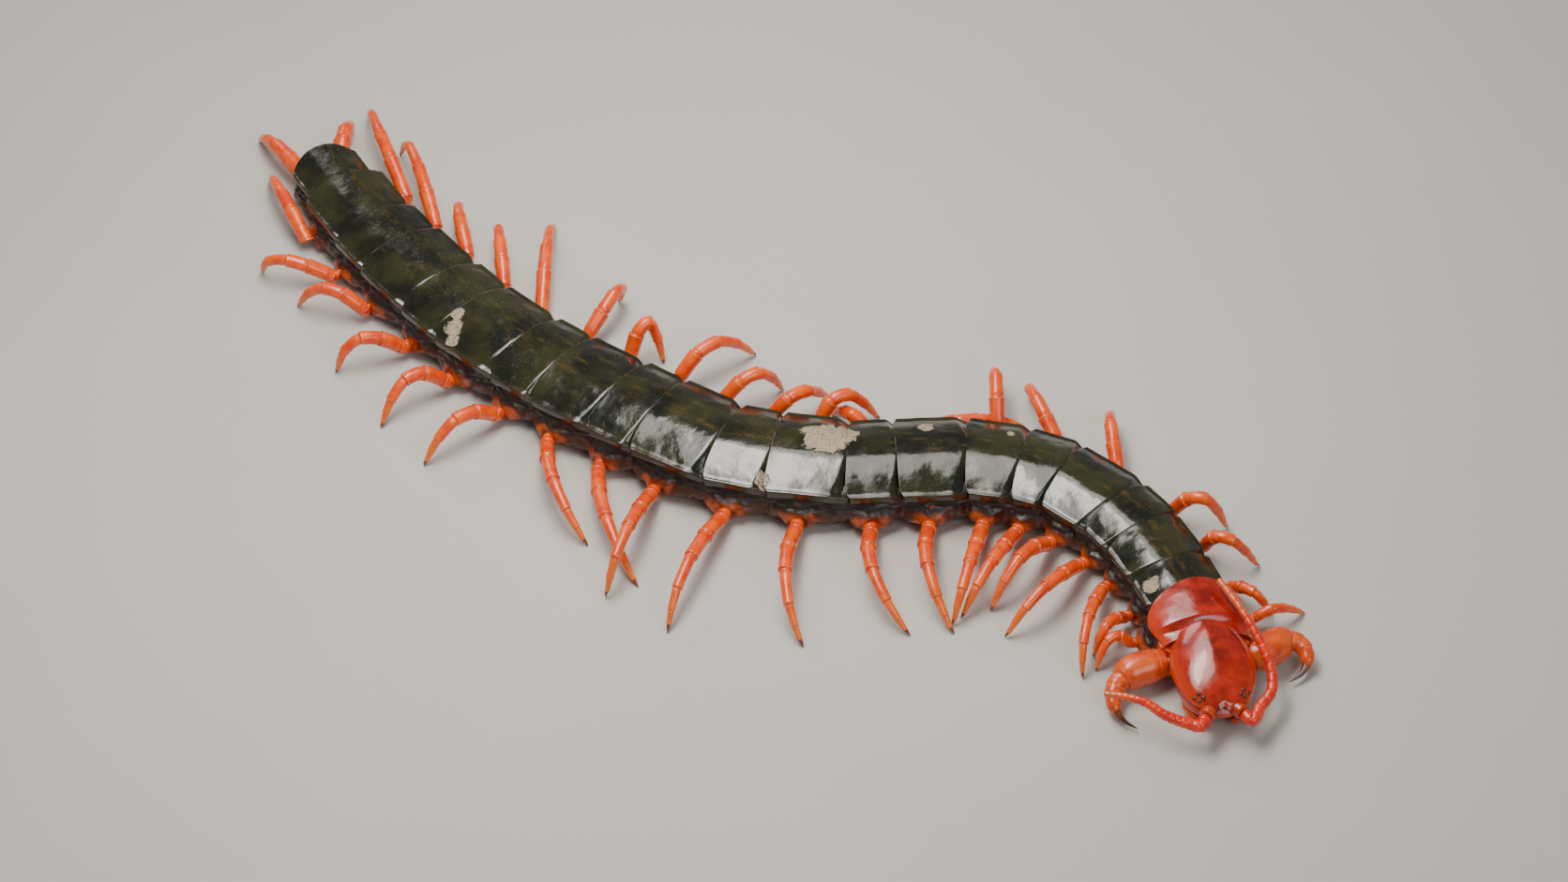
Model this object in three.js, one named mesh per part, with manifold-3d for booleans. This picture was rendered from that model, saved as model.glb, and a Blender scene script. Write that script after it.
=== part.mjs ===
// A giant centipede (Scolopendra) at life size, in millimetres, +Z up, standing on its claws.
// The trunk is a chain of 21 segments that bends only in plan. Every segment has a length, a
// heading and a width; lofts over those give the trunk, and each leg is an arch from a coxa on the
// flank, over a knee, down to a small flat at the claw.
import * as THREE from 'three';
import Module from 'manifold-3d';

const wasm = await Module();
wasm.setup();

// One value per segment, first to last. Short and long plates alternate, with two long ones together
// at 7 and 8. Headings are degrees in plan and point from tail to head.
const PLATE_LENGTHS = [
  6.8, 6.0, 7.0, 5.4, 8.6, 5.6, 7.2, 9.2, 6.4, 9.8, 7.0, 10.0, 6.4, 9.2, 6.6, 10.0, 7.0, 9.6, 6.6, 9.0,
  6.4,
];
const HEADINGS = [
  -76, -69, -63, -54, -40, -22, -10, 3, 3, -8, -15, -30, -33, -34, -38, -42, -49, -51, -54, -58, -60,
];
const PLATE_WIDTHS = [
  12.8, 11.0, 11.4, 11.8, 12.4, 13.2, 13.8, 14.4, 14.4, 14.8, 14.8, 14.9, 14.8, 14.6, 14.4, 14.2, 13.8,
  13.4, 12.8, 12.0, 9.8,
];
const SEGMENTS = PLATE_LENGTHS.length;
const WIDEST = Math.max(...PLATE_WIDTHS);
const HEAD_HEADING = -82;
// The neck, where the head meets the first segment, placed so that the whole box centres on X = Y = 0.
const NECK = [57.14, -46.08];

const GAP = 0.34; // between nodes that meet face to face
const FREE_EDGE = 0.12; // depth of the step where a plate ends over the next one

// Half of the trunk's cross-section, from the crest round to the belly: share of the half width,
// height. Each plate is a flat strip between two sides that slope to the margin.
const TRUNK_SECTION = [
  [0, 8.4], [0.28, 8.28], [0.62, 7.4], [0.94, 6.55], [1, 5.4], [0.94, 5.0], [1.02, 3.7], [1.07, 2.4],
  [0.92, 1.2], [0.55, 0.6], [0, 0.6],
];
// Stations of one plate, front to rear: share of the length still to the rear, width, rise of the crest.
const PLATE_STATIONS = [[1, 0.93, -0.45], [0.8, 0.97, -0.1], [0.4, 0.99, 0.05], [0, 1, 0.1]];
const PLATE_LEVEL = 5.2; // what lies above this height belongs to the plate

const COXA_AT = 0.4; // share of a segment's length from its rear, where its legs stand
const FIRST_COXA_AT = 0.28;
const COXA_REACH = 1.0; // how far the coxa's face stands out from the plate's margin
const COXA_HEIGHT = 2.2;
const COXA_RADIUS = 1.08;
const COXA_DEPTH = 2.4;
const COXA_TURN = 0.35; // share of the leg's sweep that the coxa follows
const COXA_TURN_MAX = 20;
const TROCHANTER = 1.0;

const LEG_SIDES = 8;
const KNEE_AT = 0.45; // share of the arch's parameter at the knee
// Podomeres of a leg: share of its length, radius; each ends in a narrow joint.
const LEG_STATIONS = [
  [0.07, 0.98], [0.2, 1.08], [0.3, 1.06], [0.325, 0.9], [0.52, 0.94], [0.545, 0.76], [0.74, 0.72],
  [0.765, 0.58], [0.93, 0.4],
];
const CLAW_FLAT = 0.28;
const LEG_GIRTHS = [0.72, 0.82, 0.88, 0.94]; // the first pairs are slimmer than the rest
const LAST_LEG_GIRTH = 1.2;

// Poses of the legs, one row for each pair: foot outward, foot forward, knee outward, knee forward,
// knee height, measured from the coxa's face in the segment's own directions.
const RIGHT_POSES = [
  [6.0, 1.8, 3.5, 0.0, 4.0], [6.5, 3.4, 4.5, 2.4, 4.4], [10.0, 11.0, 7.0, 6.5, 5.0],
  [15.5, 3.0, 9.0, 2.5, 5.0], [13.5, 0.5, 7.5, 0.5, 5.5], [16.0, -2.0, 10.0, -0.5, 5.0],
  [16.5, -1.5, 11.0, -0.5, 5.0], [17.5, 2.0, 9.5, -1.0, 5.0], [17.5, 4.0, 10.0, -0.5, 5.0],
  [19.5, 3.5, 11.5, 0.0, 5.0], [20.5, -2.0, 12.0, -1.5, 5.0], [18.0, 3.5, 12.5, 3.0, 6.5],
  [14.0, 15.5, 8.0, 6.0, 4.0], [11.5, 14.5, 8.0, 6.5, 5.0], [12.5, -3.0, 6.5, -1.5, 5.5],
  [11.5, -2.0, 5.5, -2.0, 5.5], [9.5, -4.0, 6.0, -2.5, 5.5], [6.5, -8.5, 4.0, -4.5, 5.0],
  [7.5, -8.5, 6.0, -5.0, 4.5], [-1.5, -16.0, 0.3, -8.5, 4.0], [1.0, -14.0, 1.0, -7.5, 3.6],
];
const LEFT_POSES = [
  [8.0, -1.0, 3.5, 0.0, 3.2], [4.5, 4.5, 2.0, 4.0, 4.5], [6.5, 5.0, 2.0, 3.0, 6.0],
  [6.0, 5.5, 2.5, 3.5, 6.5], [9.0, -7.0, 5.5, -5.0, 4.5], [10.0, -7.5, 6.0, -5.5, 4.5],
  [11.5, -2.0, 7.0, -1.3, 6.2], [2.0, 14.0, 2.2, 7.5, 2.2], [6.5, -4.5, 2.5, -2.2, 3.8],
  [5.5, 8.0, 3.5, 3.0, 6.0], [9.0, 6.5, 3.0, 3.5, 6.0], [9.0, 5.0, 4.5, 3.0, 6.0],
  [13.0, 5.0, 6.5, 2.0, 6.0], [5.0, 3.0, 4.5, 0.5, 7.0], [11.0, -2.5, 8.0, -0.5, 5.5],
  [16.0, -12.5, 8.5, -6.5, 5.0], [8.0, -10.5, 5.5, -7.0, 4.0], [6.5, -9.5, 4.0, -6.5, 4.0],
  [6.0, -17.5, 5.0, -12.0, 5.0], [6.0, -20.5, 3.0, -12.0, 5.0], [6.0, -9.5, 3.0, -5.0, 4.2],
];
const LAST_COXA_SIDE = 2.6;
const LAST_COXA_HEIGHT = 2.6;

// Stations of the head: distance ahead of the neck, half width, crest, underside.
const HEAD_STATIONS = [
  [0.15, 4.3, 6.7, 1.3], [1.5, 4.9, 7.3, 1.1], [4.0, 5.2, 7.5, 1.0], [6.5, 5.15, 7.2, 1.1],
  [8.6, 4.5, 6.4, 1.6], [10.0, 3.2, 5.6, 2.3], [10.9, 1.5, 4.9, 3.0],
];
const HEAD_SIDES = 16;
const SOFT_CORNER = 0.8; // exponent that squares the head's oval a little

const ROOT_LEAD = 1.6; // how far a limb of the head runs straight out of its root

const ANTENNA_SIDES = 8;
const ANTENNA_SOCKET = [11.1, 2.3, 4.0]; // ahead, outward, height of the socket's face
const ANTENNA_ROOT = [9.2, 0.9, 4.2];
const ANTENNA_RADII = [0.85, 0.4]; // root, tip
const ANTENNA_ARTICLES = 18;
// Ways of the antennae after the socket, in the head's directions: ahead, to the left, height.
const RIGHT_ANTENNA_WAY = [
  [11.7, -4.6, 3.7], [10.4, -7.4, 4.3], [8.6, -9.6, 5.0], [7.0, -12.2, 4.8], [6.0, -14.2, 4.4],
];
const LEFT_ANTENNA_WAY = [
  [10.4, 4.7, 3.9], [8.2, 6.6, 4.2], [5.4, 7.1, 5.0], [2.6, 6.5, 6.3], [-2.2, 4.9, 7.7], [-7.2, 2.8, 8.6],
];

const FORCIPULE_SIDES = 10;
const FORCIPULE_RADIUS = 1.5;
const FORCIPULE_FACE = [-1.75, 7.0, 2.6]; // on the first segment's flank, in the head's directions
const FORCIPULE_ROOT = [-1.95, 3.6, 2.6];
const RIGHT_FORCIPULE_WAY = [
  [1.5, -10.1, 2.8], [3.4, -12.2, 2.5], [5.6, -12.9, 1.9], [7.8, -12.1, 1.2], [9.3, -10.5, 0.9],
];
const LEFT_FORCIPULE_WAY = [
  [-0.9, 10.6, 2.8], [-0.3, 12.3, 2.5], [1.6, 12.9, 1.9], [3.4, 11.8, 1.2], [4.4, 10.0, 0.9],
];
// Share of the forcipule's length, radius: the great joint, two short ones, the fang.
const FORCIPULE_STATIONS = [
  [0.1, 1.55], [0.25, 1.95], [0.38, 1.85], [0.46, 1.35], [0.49, 1.2], [0.54, 1.22], [0.57, 1.05],
  [0.62, 1.06], [0.72, 0.8], [0.78, 0.5], [0.9, 0.36], [1, 0.22],
];

const shell = new THREE.MeshStandardMaterial({ color: 0x23281a, roughness: 0.25, metalness: 0 });
const redShell = new THREE.MeshStandardMaterial({ color: 0x7a1208, roughness: 0.25, metalness: 0 });
const limb = new THREE.MeshStandardMaterial({ color: 0xd9400f, roughness: 0.35, metalness: 0 });

const radians = THREE.MathUtils.degToRad;
const vector = (x, y, z) => new THREE.Vector3(x, y, z);
const heading = (degrees) => vector(Math.cos(radians(degrees)), Math.sin(radians(degrees)), 0);

// A closed solid over rings of equal count, with a fan over each end, as a Manifold.
function loft(rings) {
  const sides = rings[0].length;
  const points = rings.flat();
  const triangles = [];
  for (let k = 0; k + 1 < rings.length; k += 1) {
    for (let j = 0; j < sides; j += 1) {
      const a = k * sides + j;
      const b = k * sides + ((j + 1) % sides);
      triangles.push([a, b, b + sides], [a, b + sides, a + sides]);
    }
  }
  const ends = [[rings[0], 0, true], [rings.at(-1), (rings.length - 1) * sides, false]];
  for (const [ring, start, front] of ends) {
    const centre = ring.reduce((sum, p) => sum.add(p), vector(0, 0, 0)).divideScalar(sides);
    points.push(centre);
    for (let j = 0; j < sides; j += 1) {
      const a = start + j;
      const b = start + ((j + 1) % sides);
      triangles.push(front ? [b, a, points.length - 1] : [a, b, points.length - 1]);
    }
  }
  return solid(points, triangles);
}

function solid(points, triangles) {
  const volume = triangles.reduce((sum, [a, b, c]) => {
    return sum + points[a].dot(vector(0, 0, 0).crossVectors(points[b], points[c]));
  }, 0);
  const outward = volume > 0 ? triangles : triangles.map(([a, b, c]) => [a, c, b]);
  return new wasm.Manifold(new wasm.Mesh({
    numProp: 3,
    vertProperties: Float32Array.from(points.flatMap((p) => p.toArray())),
    triVerts: Uint32Array.from(outward.flat()),
  }));
}

function mesh(manifold, name, material) {
  const data = manifold.getMesh();
  const geometry = new THREE.BufferGeometry();
  geometry.setAttribute('position', new THREE.BufferAttribute(data.vertProperties, 3));
  geometry.setIndex(new THREE.BufferAttribute(data.triVerts, 1));
  const flat = geometry.toNonIndexed();
  flat.computeVertexNormals();
  const result = new THREE.Mesh(flat, material);
  result.name = name;
  return result;
}

// A ring of points round a centre, square to a direction; the first side point is always level.
function ringAround(centre, direction, radius, sides) {
  const level = vector(direction.y, -direction.x, 0).normalize();
  const rise = vector(0, 0, 0).crossVectors(level, direction).normalize();
  return Array.from({ length: sides }, (_, j) => {
    const angle = ((j + 0.5) / sides) * 2 * Math.PI;
    const across = radius * Math.cos(angle);
    const up = radius * Math.sin(angle);
    return centre.clone().addScaledVector(level, across).addScaledVector(rise, up);
  });
}

// The joints between the segments, from the neck to the tail, each with its outward-left direction.
function trunkJoints() {
  const joints = [{ point: vector(...NECK, 0), left: heading(HEAD_HEADING + 90) }];
  for (let i = 0; i < SEGMENTS; i += 1) {
    const point = joints[i].point.clone().addScaledVector(heading(HEADINGS[i]), -PLATE_LENGTHS[i]);
    const next = i + 1 < SEGMENTS ? HEADINGS[i + 1] : HEADINGS[i];
    joints.push({ point, left: heading((HEADINGS[i] + next) / 2 + 90) });
  }
  return joints;
}

const joints = trunkJoints();

// A place in segment i (0 to 20): share of its length from the rear, distance to the left, height.
function place(i, along, side, height) {
  const front = joints[i].point.clone().addScaledVector(joints[i].left, side);
  const rear = joints[i + 1].point.clone().addScaledVector(joints[i + 1].left, side);
  return rear.lerp(front, along).setZ(height);
}

const stature = (i) => Math.sqrt(PLATE_WIDTHS[i] / WIDEST);

function trunkRing(i, along, width, rise) {
  const half = TRUNK_SECTION.map(([side, height]) => {
    const lifted = height > PLATE_LEVEL ? height + rise : height;
    return [side * width * PLATE_WIDTHS[i] / 2, lifted * stature(i)];
  });
  const right = half.slice(1, -1).reverse().map(([side, height]) => [-side, height]);
  return [...half, ...right].map(([side, height]) => place(i, along, side, height));
}

// The lofted trunk from segment first to segment last, its two ends half a gap inside the joints.
function trunkLength(first, last) {
  const rings = [];
  for (let i = first; i <= last; i += 1) {
    PLATE_STATIONS.forEach(([along, width, rise], k) => {
      let inset = 0;
      if (k === 0) inset = i === first ? -GAP / 2 : -FREE_EDGE / 2;
      if (k === PLATE_STATIONS.length - 1) inset = i === last && i + 1 < SEGMENTS ? GAP / 2 : FREE_EDGE / 2;
      rings.push(trunkRing(i, along + inset / PLATE_LENGTHS[i], width, rise));
    });
  }
  return loft(rings);
}

// Where a leg leaves the trunk: the middle of the coxa's face, its direction, the segment's directions.
function coxa(i, side, pose) {
  const forward = heading(HEADINGS[i]);
  const outward = heading(HEADINGS[i] + 90 * side);
  if (i === SEGMENTS - 1) {
    const along = -(GAP / 2 - FREE_EDGE / 2) / PLATE_LENGTHS[i];
    const face = place(i, along, side * LAST_COXA_SIDE, LAST_COXA_HEIGHT);
    return { face, direction: forward.clone().negate(), forward, outward };
  }
  const reach = side * (PLATE_WIDTHS[i] / 2 + COXA_REACH);
  const face = place(i, i === 0 ? FIRST_COXA_AT : COXA_AT, reach, COXA_HEIGHT * stature(i));
  const sweep = THREE.MathUtils.radToDeg(Math.atan2(pose[1], pose[0]));
  const turn = THREE.MathUtils.clamp(COXA_TURN * sweep, -COXA_TURN_MAX, COXA_TURN_MAX);
  const direction = heading(HEADINGS[i] + side * (90 - turn));
  return { face, direction, forward, outward };
}

const girth = (i) => (i === SEGMENTS - 1 ? LAST_LEG_GIRTH : LEG_GIRTHS[i] ?? 1);

function coxaBoss(i, side, pose) {
  const { face, direction } = coxa(i, side, pose);
  const radius = COXA_RADIUS * girth(i);
  const front = face.clone().addScaledVector(direction, -GAP / 2);
  const back = face.clone().addScaledVector(direction, -COXA_DEPTH);
  const flare = 1.15;
  return loft([
    ringAround(front, direction, radius, LEG_SIDES), ringAround(back, direction, radius * flare, LEG_SIDES),
  ]);
}

function leg(i, side, pose) {
  const { face, direction, forward, outward } = coxa(i, side, pose);
  const [footOut, footForward, kneeOut, kneeForward, kneeHeight] = pose;
  const reach = (out, ahead, height) => {
    return face.clone().addScaledVector(outward, out).addScaledVector(forward, ahead).setZ(height);
  };
  const foot = reach(footOut, footForward, 0);
  const knee = reach(kneeOut, kneeForward, kneeHeight);
  const start = face.clone().addScaledVector(direction, TROCHANTER);
  const pull = knee.clone()
    .addScaledVector(start, -((1 - KNEE_AT) ** 2))
    .addScaledVector(foot, -(KNEE_AT ** 2))
    .divideScalar(2 * KNEE_AT * (1 - KNEE_AT));
  const arch = new THREE.QuadraticBezierCurve3(start, pull, foot);
  const size = girth(i);
  const socket = face.clone().addScaledVector(direction, GAP / 2);
  const rings = [ringAround(socket, direction, COXA_RADIUS * size, LEG_SIDES)];
  for (const [share, radius] of LEG_STATIONS) {
    rings.push(ringAround(arch.getPointAt(share), arch.getTangentAt(share), radius * size, LEG_SIDES));
  }
  const last = arch.getTangentAt(1);
  const downward = vector(last.x * 0.01, last.y * 0.01, -1).normalize();
  rings.push(ringAround(foot, downward, CLAW_FLAT, LEG_SIDES).map((p) => p.setZ(0)));
  return loft(rings);
}

// A point in the head's own directions: ahead of the neck, to the left, height.
function headPoint([ahead, left, height]) {
  return joints[0].point.clone()
    .addScaledVector(heading(HEAD_HEADING), ahead)
    .addScaledVector(heading(HEAD_HEADING + 90), left)
    .setZ(height);
}

const mirrored = ([ahead, left, height], side) => [ahead, left * side, height];

function headRing([ahead, halfWidth, crest, underside]) {
  return Array.from({ length: HEAD_SIDES }, (_, j) => {
    const angle = (j / HEAD_SIDES) * 2 * Math.PI;
    const soft = (value) => Math.sign(value) * Math.abs(value) ** SOFT_CORNER;
    const left = halfWidth * soft(Math.cos(angle));
    const height = (crest + underside) / 2 + ((crest - underside) / 2) * soft(Math.sin(angle));
    return headPoint([ahead, left, height]);
  });
}

// A short frustum from a root inside the body to a flat face, and the direction it looks in.
function rootFace(root, face, side) {
  const from = headPoint(mirrored(root, side));
  const to = headPoint(mirrored(face, side));
  return { from, to, direction: to.clone().sub(from).normalize() };
}

function rootBoss({ from, to, direction }, radius, sides) {
  const end = to.clone().addScaledVector(direction, -GAP / 2);
  return loft([ringAround(end, direction, radius, sides), ringAround(from, direction, radius, sides)]);
}

function head() {
  let whole = loft(HEAD_STATIONS.map(headRing));
  for (const side of [1, -1]) {
    const root = rootFace(ANTENNA_ROOT, ANTENNA_SOCKET, side);
    whole = whole.add(rootBoss(root, ANTENNA_RADII[0], ANTENNA_SIDES));
  }
  return whole;
}

// A tube from a root's face along a smooth way; radiusAt gives the radius at each share of the length.
function tube(root, way, stations, sides) {
  const start = root.to.clone().addScaledVector(root.direction, GAP / 2);
  const lead = root.to.clone().addScaledVector(root.direction, ROOT_LEAD);
  const curve = new THREE.CatmullRomCurve3([start, lead, ...way.map(headPoint)], false, 'centripetal');
  return loft(stations.map(([share, radius]) => {
    const direction = share === 0 ? root.direction : curve.getTangentAt(share);
    return ringAround(curve.getPointAt(share), direction, radius, sides);
  }));
}

// The antenna narrows evenly from its socket; each station is the end of one article.
function antenna(side, way) {
  const [thick, thin] = ANTENNA_RADII;
  const stations = Array.from({ length: ANTENNA_ARTICLES + 1 }, (_, k) => {
    const share = k / ANTENNA_ARTICLES;
    return [share, thick + (thin - thick) * share];
  });
  return tube(rootFace(ANTENNA_ROOT, ANTENNA_SOCKET, side), way, stations, ANTENNA_SIDES);
}

function forcipule(side, way) {
  const stations = [[0, FORCIPULE_RADIUS], ...FORCIPULE_STATIONS];
  return tube(rootFace(FORCIPULE_ROOT, FORCIPULE_FACE, side), way, stations, FORCIPULE_SIDES);
}

function trunkNode(first, last) {
  let whole = trunkLength(first, last);
  for (let i = first; i <= last; i += 1) {
    if (i === SEGMENTS - 1) continue;
    whole = whole.add(coxaBoss(i, 1, LEFT_POSES[i])).add(coxaBoss(i, -1, RIGHT_POSES[i]));
  }
  if (first > 0) return whole;
  for (const side of [1, -1]) {
    const root = rootFace(FORCIPULE_ROOT, FORCIPULE_FACE, side);
    whole = whole.add(rootBoss(root, FORCIPULE_RADIUS, FORCIPULE_SIDES));
  }
  return whole;
}

const two = (number) => String(number).padStart(2, '0');

const group = new THREE.Group();
group.name = 'giant_centipede';
group.add(mesh(head(), 'head', redShell));
group.add(mesh(antenna(1, LEFT_ANTENNA_WAY), 'antenna_left', limb));
group.add(mesh(antenna(-1, RIGHT_ANTENNA_WAY), 'antenna_right', limb));
group.add(mesh(forcipule(1, LEFT_FORCIPULE_WAY), 'forcipule_left', limb));
group.add(mesh(forcipule(-1, RIGHT_FORCIPULE_WAY), 'forcipule_right', limb));
group.add(mesh(trunkNode(0, 0), 'trunk_01', redShell));
for (let i = 1; i < SEGMENTS; i += 2) {
  group.add(mesh(trunkNode(i, i + 1), `trunk_${two(i + 1)}_${two(i + 2)}`, shell));
}
for (let i = 0; i < SEGMENTS; i += 1) {
  group.add(mesh(leg(i, 1, LEFT_POSES[i]), `leg_left_${two(i + 1)}`, limb));
  group.add(mesh(leg(i, -1, RIGHT_POSES[i]), `leg_right_${two(i + 1)}`, limb));
}
export default group;
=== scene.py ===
# %% [markdown]
# # A giant centipede at life size
# A centipede is a chain: one head and twenty-one segments, each with a plate on its back, a plate
# on its belly, soft skin between them and one pair of legs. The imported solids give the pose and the
# sizes of that chain. This lesson dresses them, plate by plate and leg by leg, from the same named
# sizes, so that every piece lies where its solid lies.

import math

import bpy
import numpy as np
from mathutils import Matrix, Vector, noise


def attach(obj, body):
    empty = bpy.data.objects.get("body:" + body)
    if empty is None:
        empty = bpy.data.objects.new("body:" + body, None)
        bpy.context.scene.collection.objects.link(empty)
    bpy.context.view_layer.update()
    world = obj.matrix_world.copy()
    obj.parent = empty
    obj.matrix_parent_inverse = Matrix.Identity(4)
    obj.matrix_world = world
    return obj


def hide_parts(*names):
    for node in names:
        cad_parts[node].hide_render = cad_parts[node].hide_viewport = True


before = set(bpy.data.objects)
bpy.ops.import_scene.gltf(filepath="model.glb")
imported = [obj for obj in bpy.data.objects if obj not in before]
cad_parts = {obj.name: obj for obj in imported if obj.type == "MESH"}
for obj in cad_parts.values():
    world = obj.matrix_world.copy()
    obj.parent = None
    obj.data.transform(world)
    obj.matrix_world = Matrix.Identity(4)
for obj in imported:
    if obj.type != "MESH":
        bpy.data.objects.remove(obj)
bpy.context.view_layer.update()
print("solids to dress:", len(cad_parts))

# %% [markdown]
# ## The camera
# The animal was photographed from its right side, looking down at 46 degrees with a long lens. The
# lens looks at a point on the floor close to the middle of the body. The camera could be turned by
# a Track To constraint, but a matrix made once from the view direction leaves nothing to update.

# %% Camera
MM = 0.001
AIM = Vector((3.843, -5.815, 0.0)) * MM
ELEVATION = math.radians(46)
DISTANCE = 580.6 * MM
LENS, SENSOR = 100.0, 36.0

lens = bpy.data.cameras.new("camera")
lens.lens, lens.sensor_width = LENS, SENSOR
lens.clip_start, lens.clip_end = 0.01, 20.0
camera = bpy.data.objects.new("camera", lens)
bpy.context.scene.collection.objects.link(camera)
towards_camera = Vector((0, -math.cos(ELEVATION), math.sin(ELEVATION)))
camera.matrix_world = Matrix.Translation(AIM + towards_camera * DISTANCE) @ (
    towards_camera.to_track_quat("Z", "Y").to_matrix().to_4x4()
)
bpy.context.scene.camera = camera
print("camera height in mm:", round(camera.location.z / MM, 1))

# %% [markdown]
# ## Shader maths as plain expressions
# A finish on a shell is mostly arithmetic on patterns: where the mask is high, more mud. A small
# class wraps a node's socket, so that `1 - mask * 0.5` adds its Math nodes by itself. Numbers alone
# are worked out in Python, and colours are mixed by a Mix node, because a Math node turns them grey.

# %% A socket that can be added and multiplied
class Wire:
    """A socket of a finish; each sign between wires or numbers adds one Math node."""

    def __init__(self, finish, socket):
        self.finish, self.socket = finish, socket

    def maths(self, operation, *values):
        return self.finish.node("ShaderNodeMath", {"operation": operation}, values)

    def __add__(self, other):
        return self.maths("ADD", self, other)

    def __sub__(self, other):
        return self.maths("SUBTRACT", self, other)

    def __rsub__(self, other):
        return self.maths("SUBTRACT", other, self)

    def __mul__(self, other):
        return self.maths("MULTIPLY", self, other)

    __radd__, __rmul__ = __add__, __mul__

    def size(self):
        return self.maths("ABSOLUTE", self)

    def step(self, low, high):
        """0 below low, 1 above high, smooth between; low may be the larger one."""
        settings = {"interpolation_type": "SMOOTHSTEP"}
        if low > high:
            return 1 - self.step(high, low)
        return self.finish.node("ShaderNodeMapRange", settings, (self, low, high))


class Finish:
    """A Principled material with constants on its own sockets, and patterns added by wires."""

    def __init__(self, name, **constants):
        self.material = bpy.data.materials.new(name)
        self.material.use_nodes = True
        self.tree = self.material.node_tree
        self.shader = self.tree.nodes["Principled BSDF"]
        for socket, value in constants.items():
            self.shader.inputs[socket.replace("_", " ")].default_value = value

    def node(self, kind, settings=None, values=(), output=0):
        made = self.tree.nodes.new(kind)
        for key, value in (settings or {}).items():
            setattr(made, key, value)
        pairs = values.items() if isinstance(values, dict) else enumerate(values)
        for key, value in pairs:
            if isinstance(value, Wire):
                self.tree.links.new(value.socket, made.inputs[key])
            else:
                made.inputs[key].default_value = value
        return Wire(self, made.outputs[output])

    def feed(self, socket, wire):
        self.tree.links.new(wire.socket, self.shader.inputs[socket])

    def mark(self, name):
        """A number that the mesh carries at each point, by its name."""
        return self.node("ShaderNodeAttribute", {"attribute_name": name}, output="Fac")

    def spot(self):
        """The place on the animal, in metres."""
        return self.node("ShaderNodeTexCoord", output="Object")

    def sheet(self, *values):
        """A place made of three wires or numbers."""
        return self.node("ShaderNodeCombineXYZ", None, values)

    def grain(self, spot, size, detail=2.0, rough=0.5):
        """Noise from 0 to 1 whose patches are about size across, in the units of spot."""
        return self.node("ShaderNodeTexNoise", None,
                         {"Vector": spot, "Scale": 1 / size, "Detail": detail, "Roughness": rough})

    def mix(self, factor, low, high):
        """The colour low where the factor is 0, high where it is 1."""
        pick = {"data_type": "RGBA"}
        low, high = (c if isinstance(c, Wire) else (*c, 1.0) for c in (low, high))
        return self.node("ShaderNodeMix", pick, {0: factor, 6: low, 7: high}, output=2)

    def emboss(self, height, depth):
        """Bumps of the given depth in metres, fed to the normal."""
        bump = self.node("ShaderNodeBump", None, {"Height": height, "Distance": depth, "Strength": 1.0})
        self.feed("Normal", bump)


print("shader helpers ready")

# %% [markdown]
# ## Sizes and pose
# One value per segment describes the chain: the length of its back plate, the way it points and its
# width. Short and long plates alternate, as they do on the living animal, with two long ones
# together at the seventh and eighth. Headings are degrees in plan and point from tail to head.

# %% Segments
PLATE_LENGTHS = [
    6.8, 6.0, 7.0, 5.4, 8.6, 5.6, 7.2, 9.2, 6.4, 9.8, 7.0, 10.0, 6.4, 9.2, 6.6, 10.0, 7.0, 9.6, 6.6, 9.0, 6.4,
]
HEADINGS = [
    -76, -69, -63, -54, -40, -22, -10, 3, 3, -8, -15, -30, -33, -34, -38, -42, -49, -51, -54, -58, -60,
]
PLATE_WIDTHS = [
    12.8, 11.0, 11.4, 11.8, 12.4, 13.2, 13.8, 14.4, 14.4, 14.8, 14.8, 14.9, 14.8, 14.6, 14.4, 14.2, 13.8,
    13.4, 12.8, 12.0, 9.8,
]
SEGMENTS = len(PLATE_LENGTHS)
HEAD_HEADING = -82
NECK = (57.14, -46.08)


def heading(degrees):
    return np.array([math.cos(math.radians(degrees)), math.sin(math.radians(degrees)), 0.0])


def chain():
    """The joints between segments, from neck to tail, and the direction to the left at each."""
    points, lefts = [np.array([*NECK, 0.0])], [heading(HEAD_HEADING + 90)]
    for i in range(SEGMENTS):
        following = HEADINGS[min(i + 1, SEGMENTS - 1)]
        points.append(points[-1] - heading(HEADINGS[i]) * PLATE_LENGTHS[i])
        lefts.append(heading((HEADINGS[i] + following) / 2 + 90))
    return points, lefts


JOINTS, LEFTS = chain()


def place(i, along, side, height):
    """Places in segment i: share of its length from the rear, mm to the left, mm up."""
    along, side = np.asarray(along)[..., None], np.asarray(side)[..., None]
    front = JOINTS[i] + LEFTS[i] * side
    rear = JOINTS[i + 1] + LEFTS[i + 1] * side
    spots = rear + (front - rear) * along
    spots[..., 2] = height
    return spots


def stature(i):
    """Slim segments are lower as well: the share of the full height that segment i has."""
    return math.sqrt(PLATE_WIDTHS[i] / max(PLATE_WIDTHS))


print("length along the back in mm:", sum(PLATE_LENGTHS))

# %% [markdown]
# ## Surfaces from rings
# Nearly every piece of the animal is a skin stretched over rings: cross-sections of the body, hoops
# along a leg, or the outline of a plate folded back under itself. A curve with a bevel would do for
# a plain tube, but rings worked out as arrays also carry marks, such as how far along the leg a
# point lies, which the finishes read later.

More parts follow.
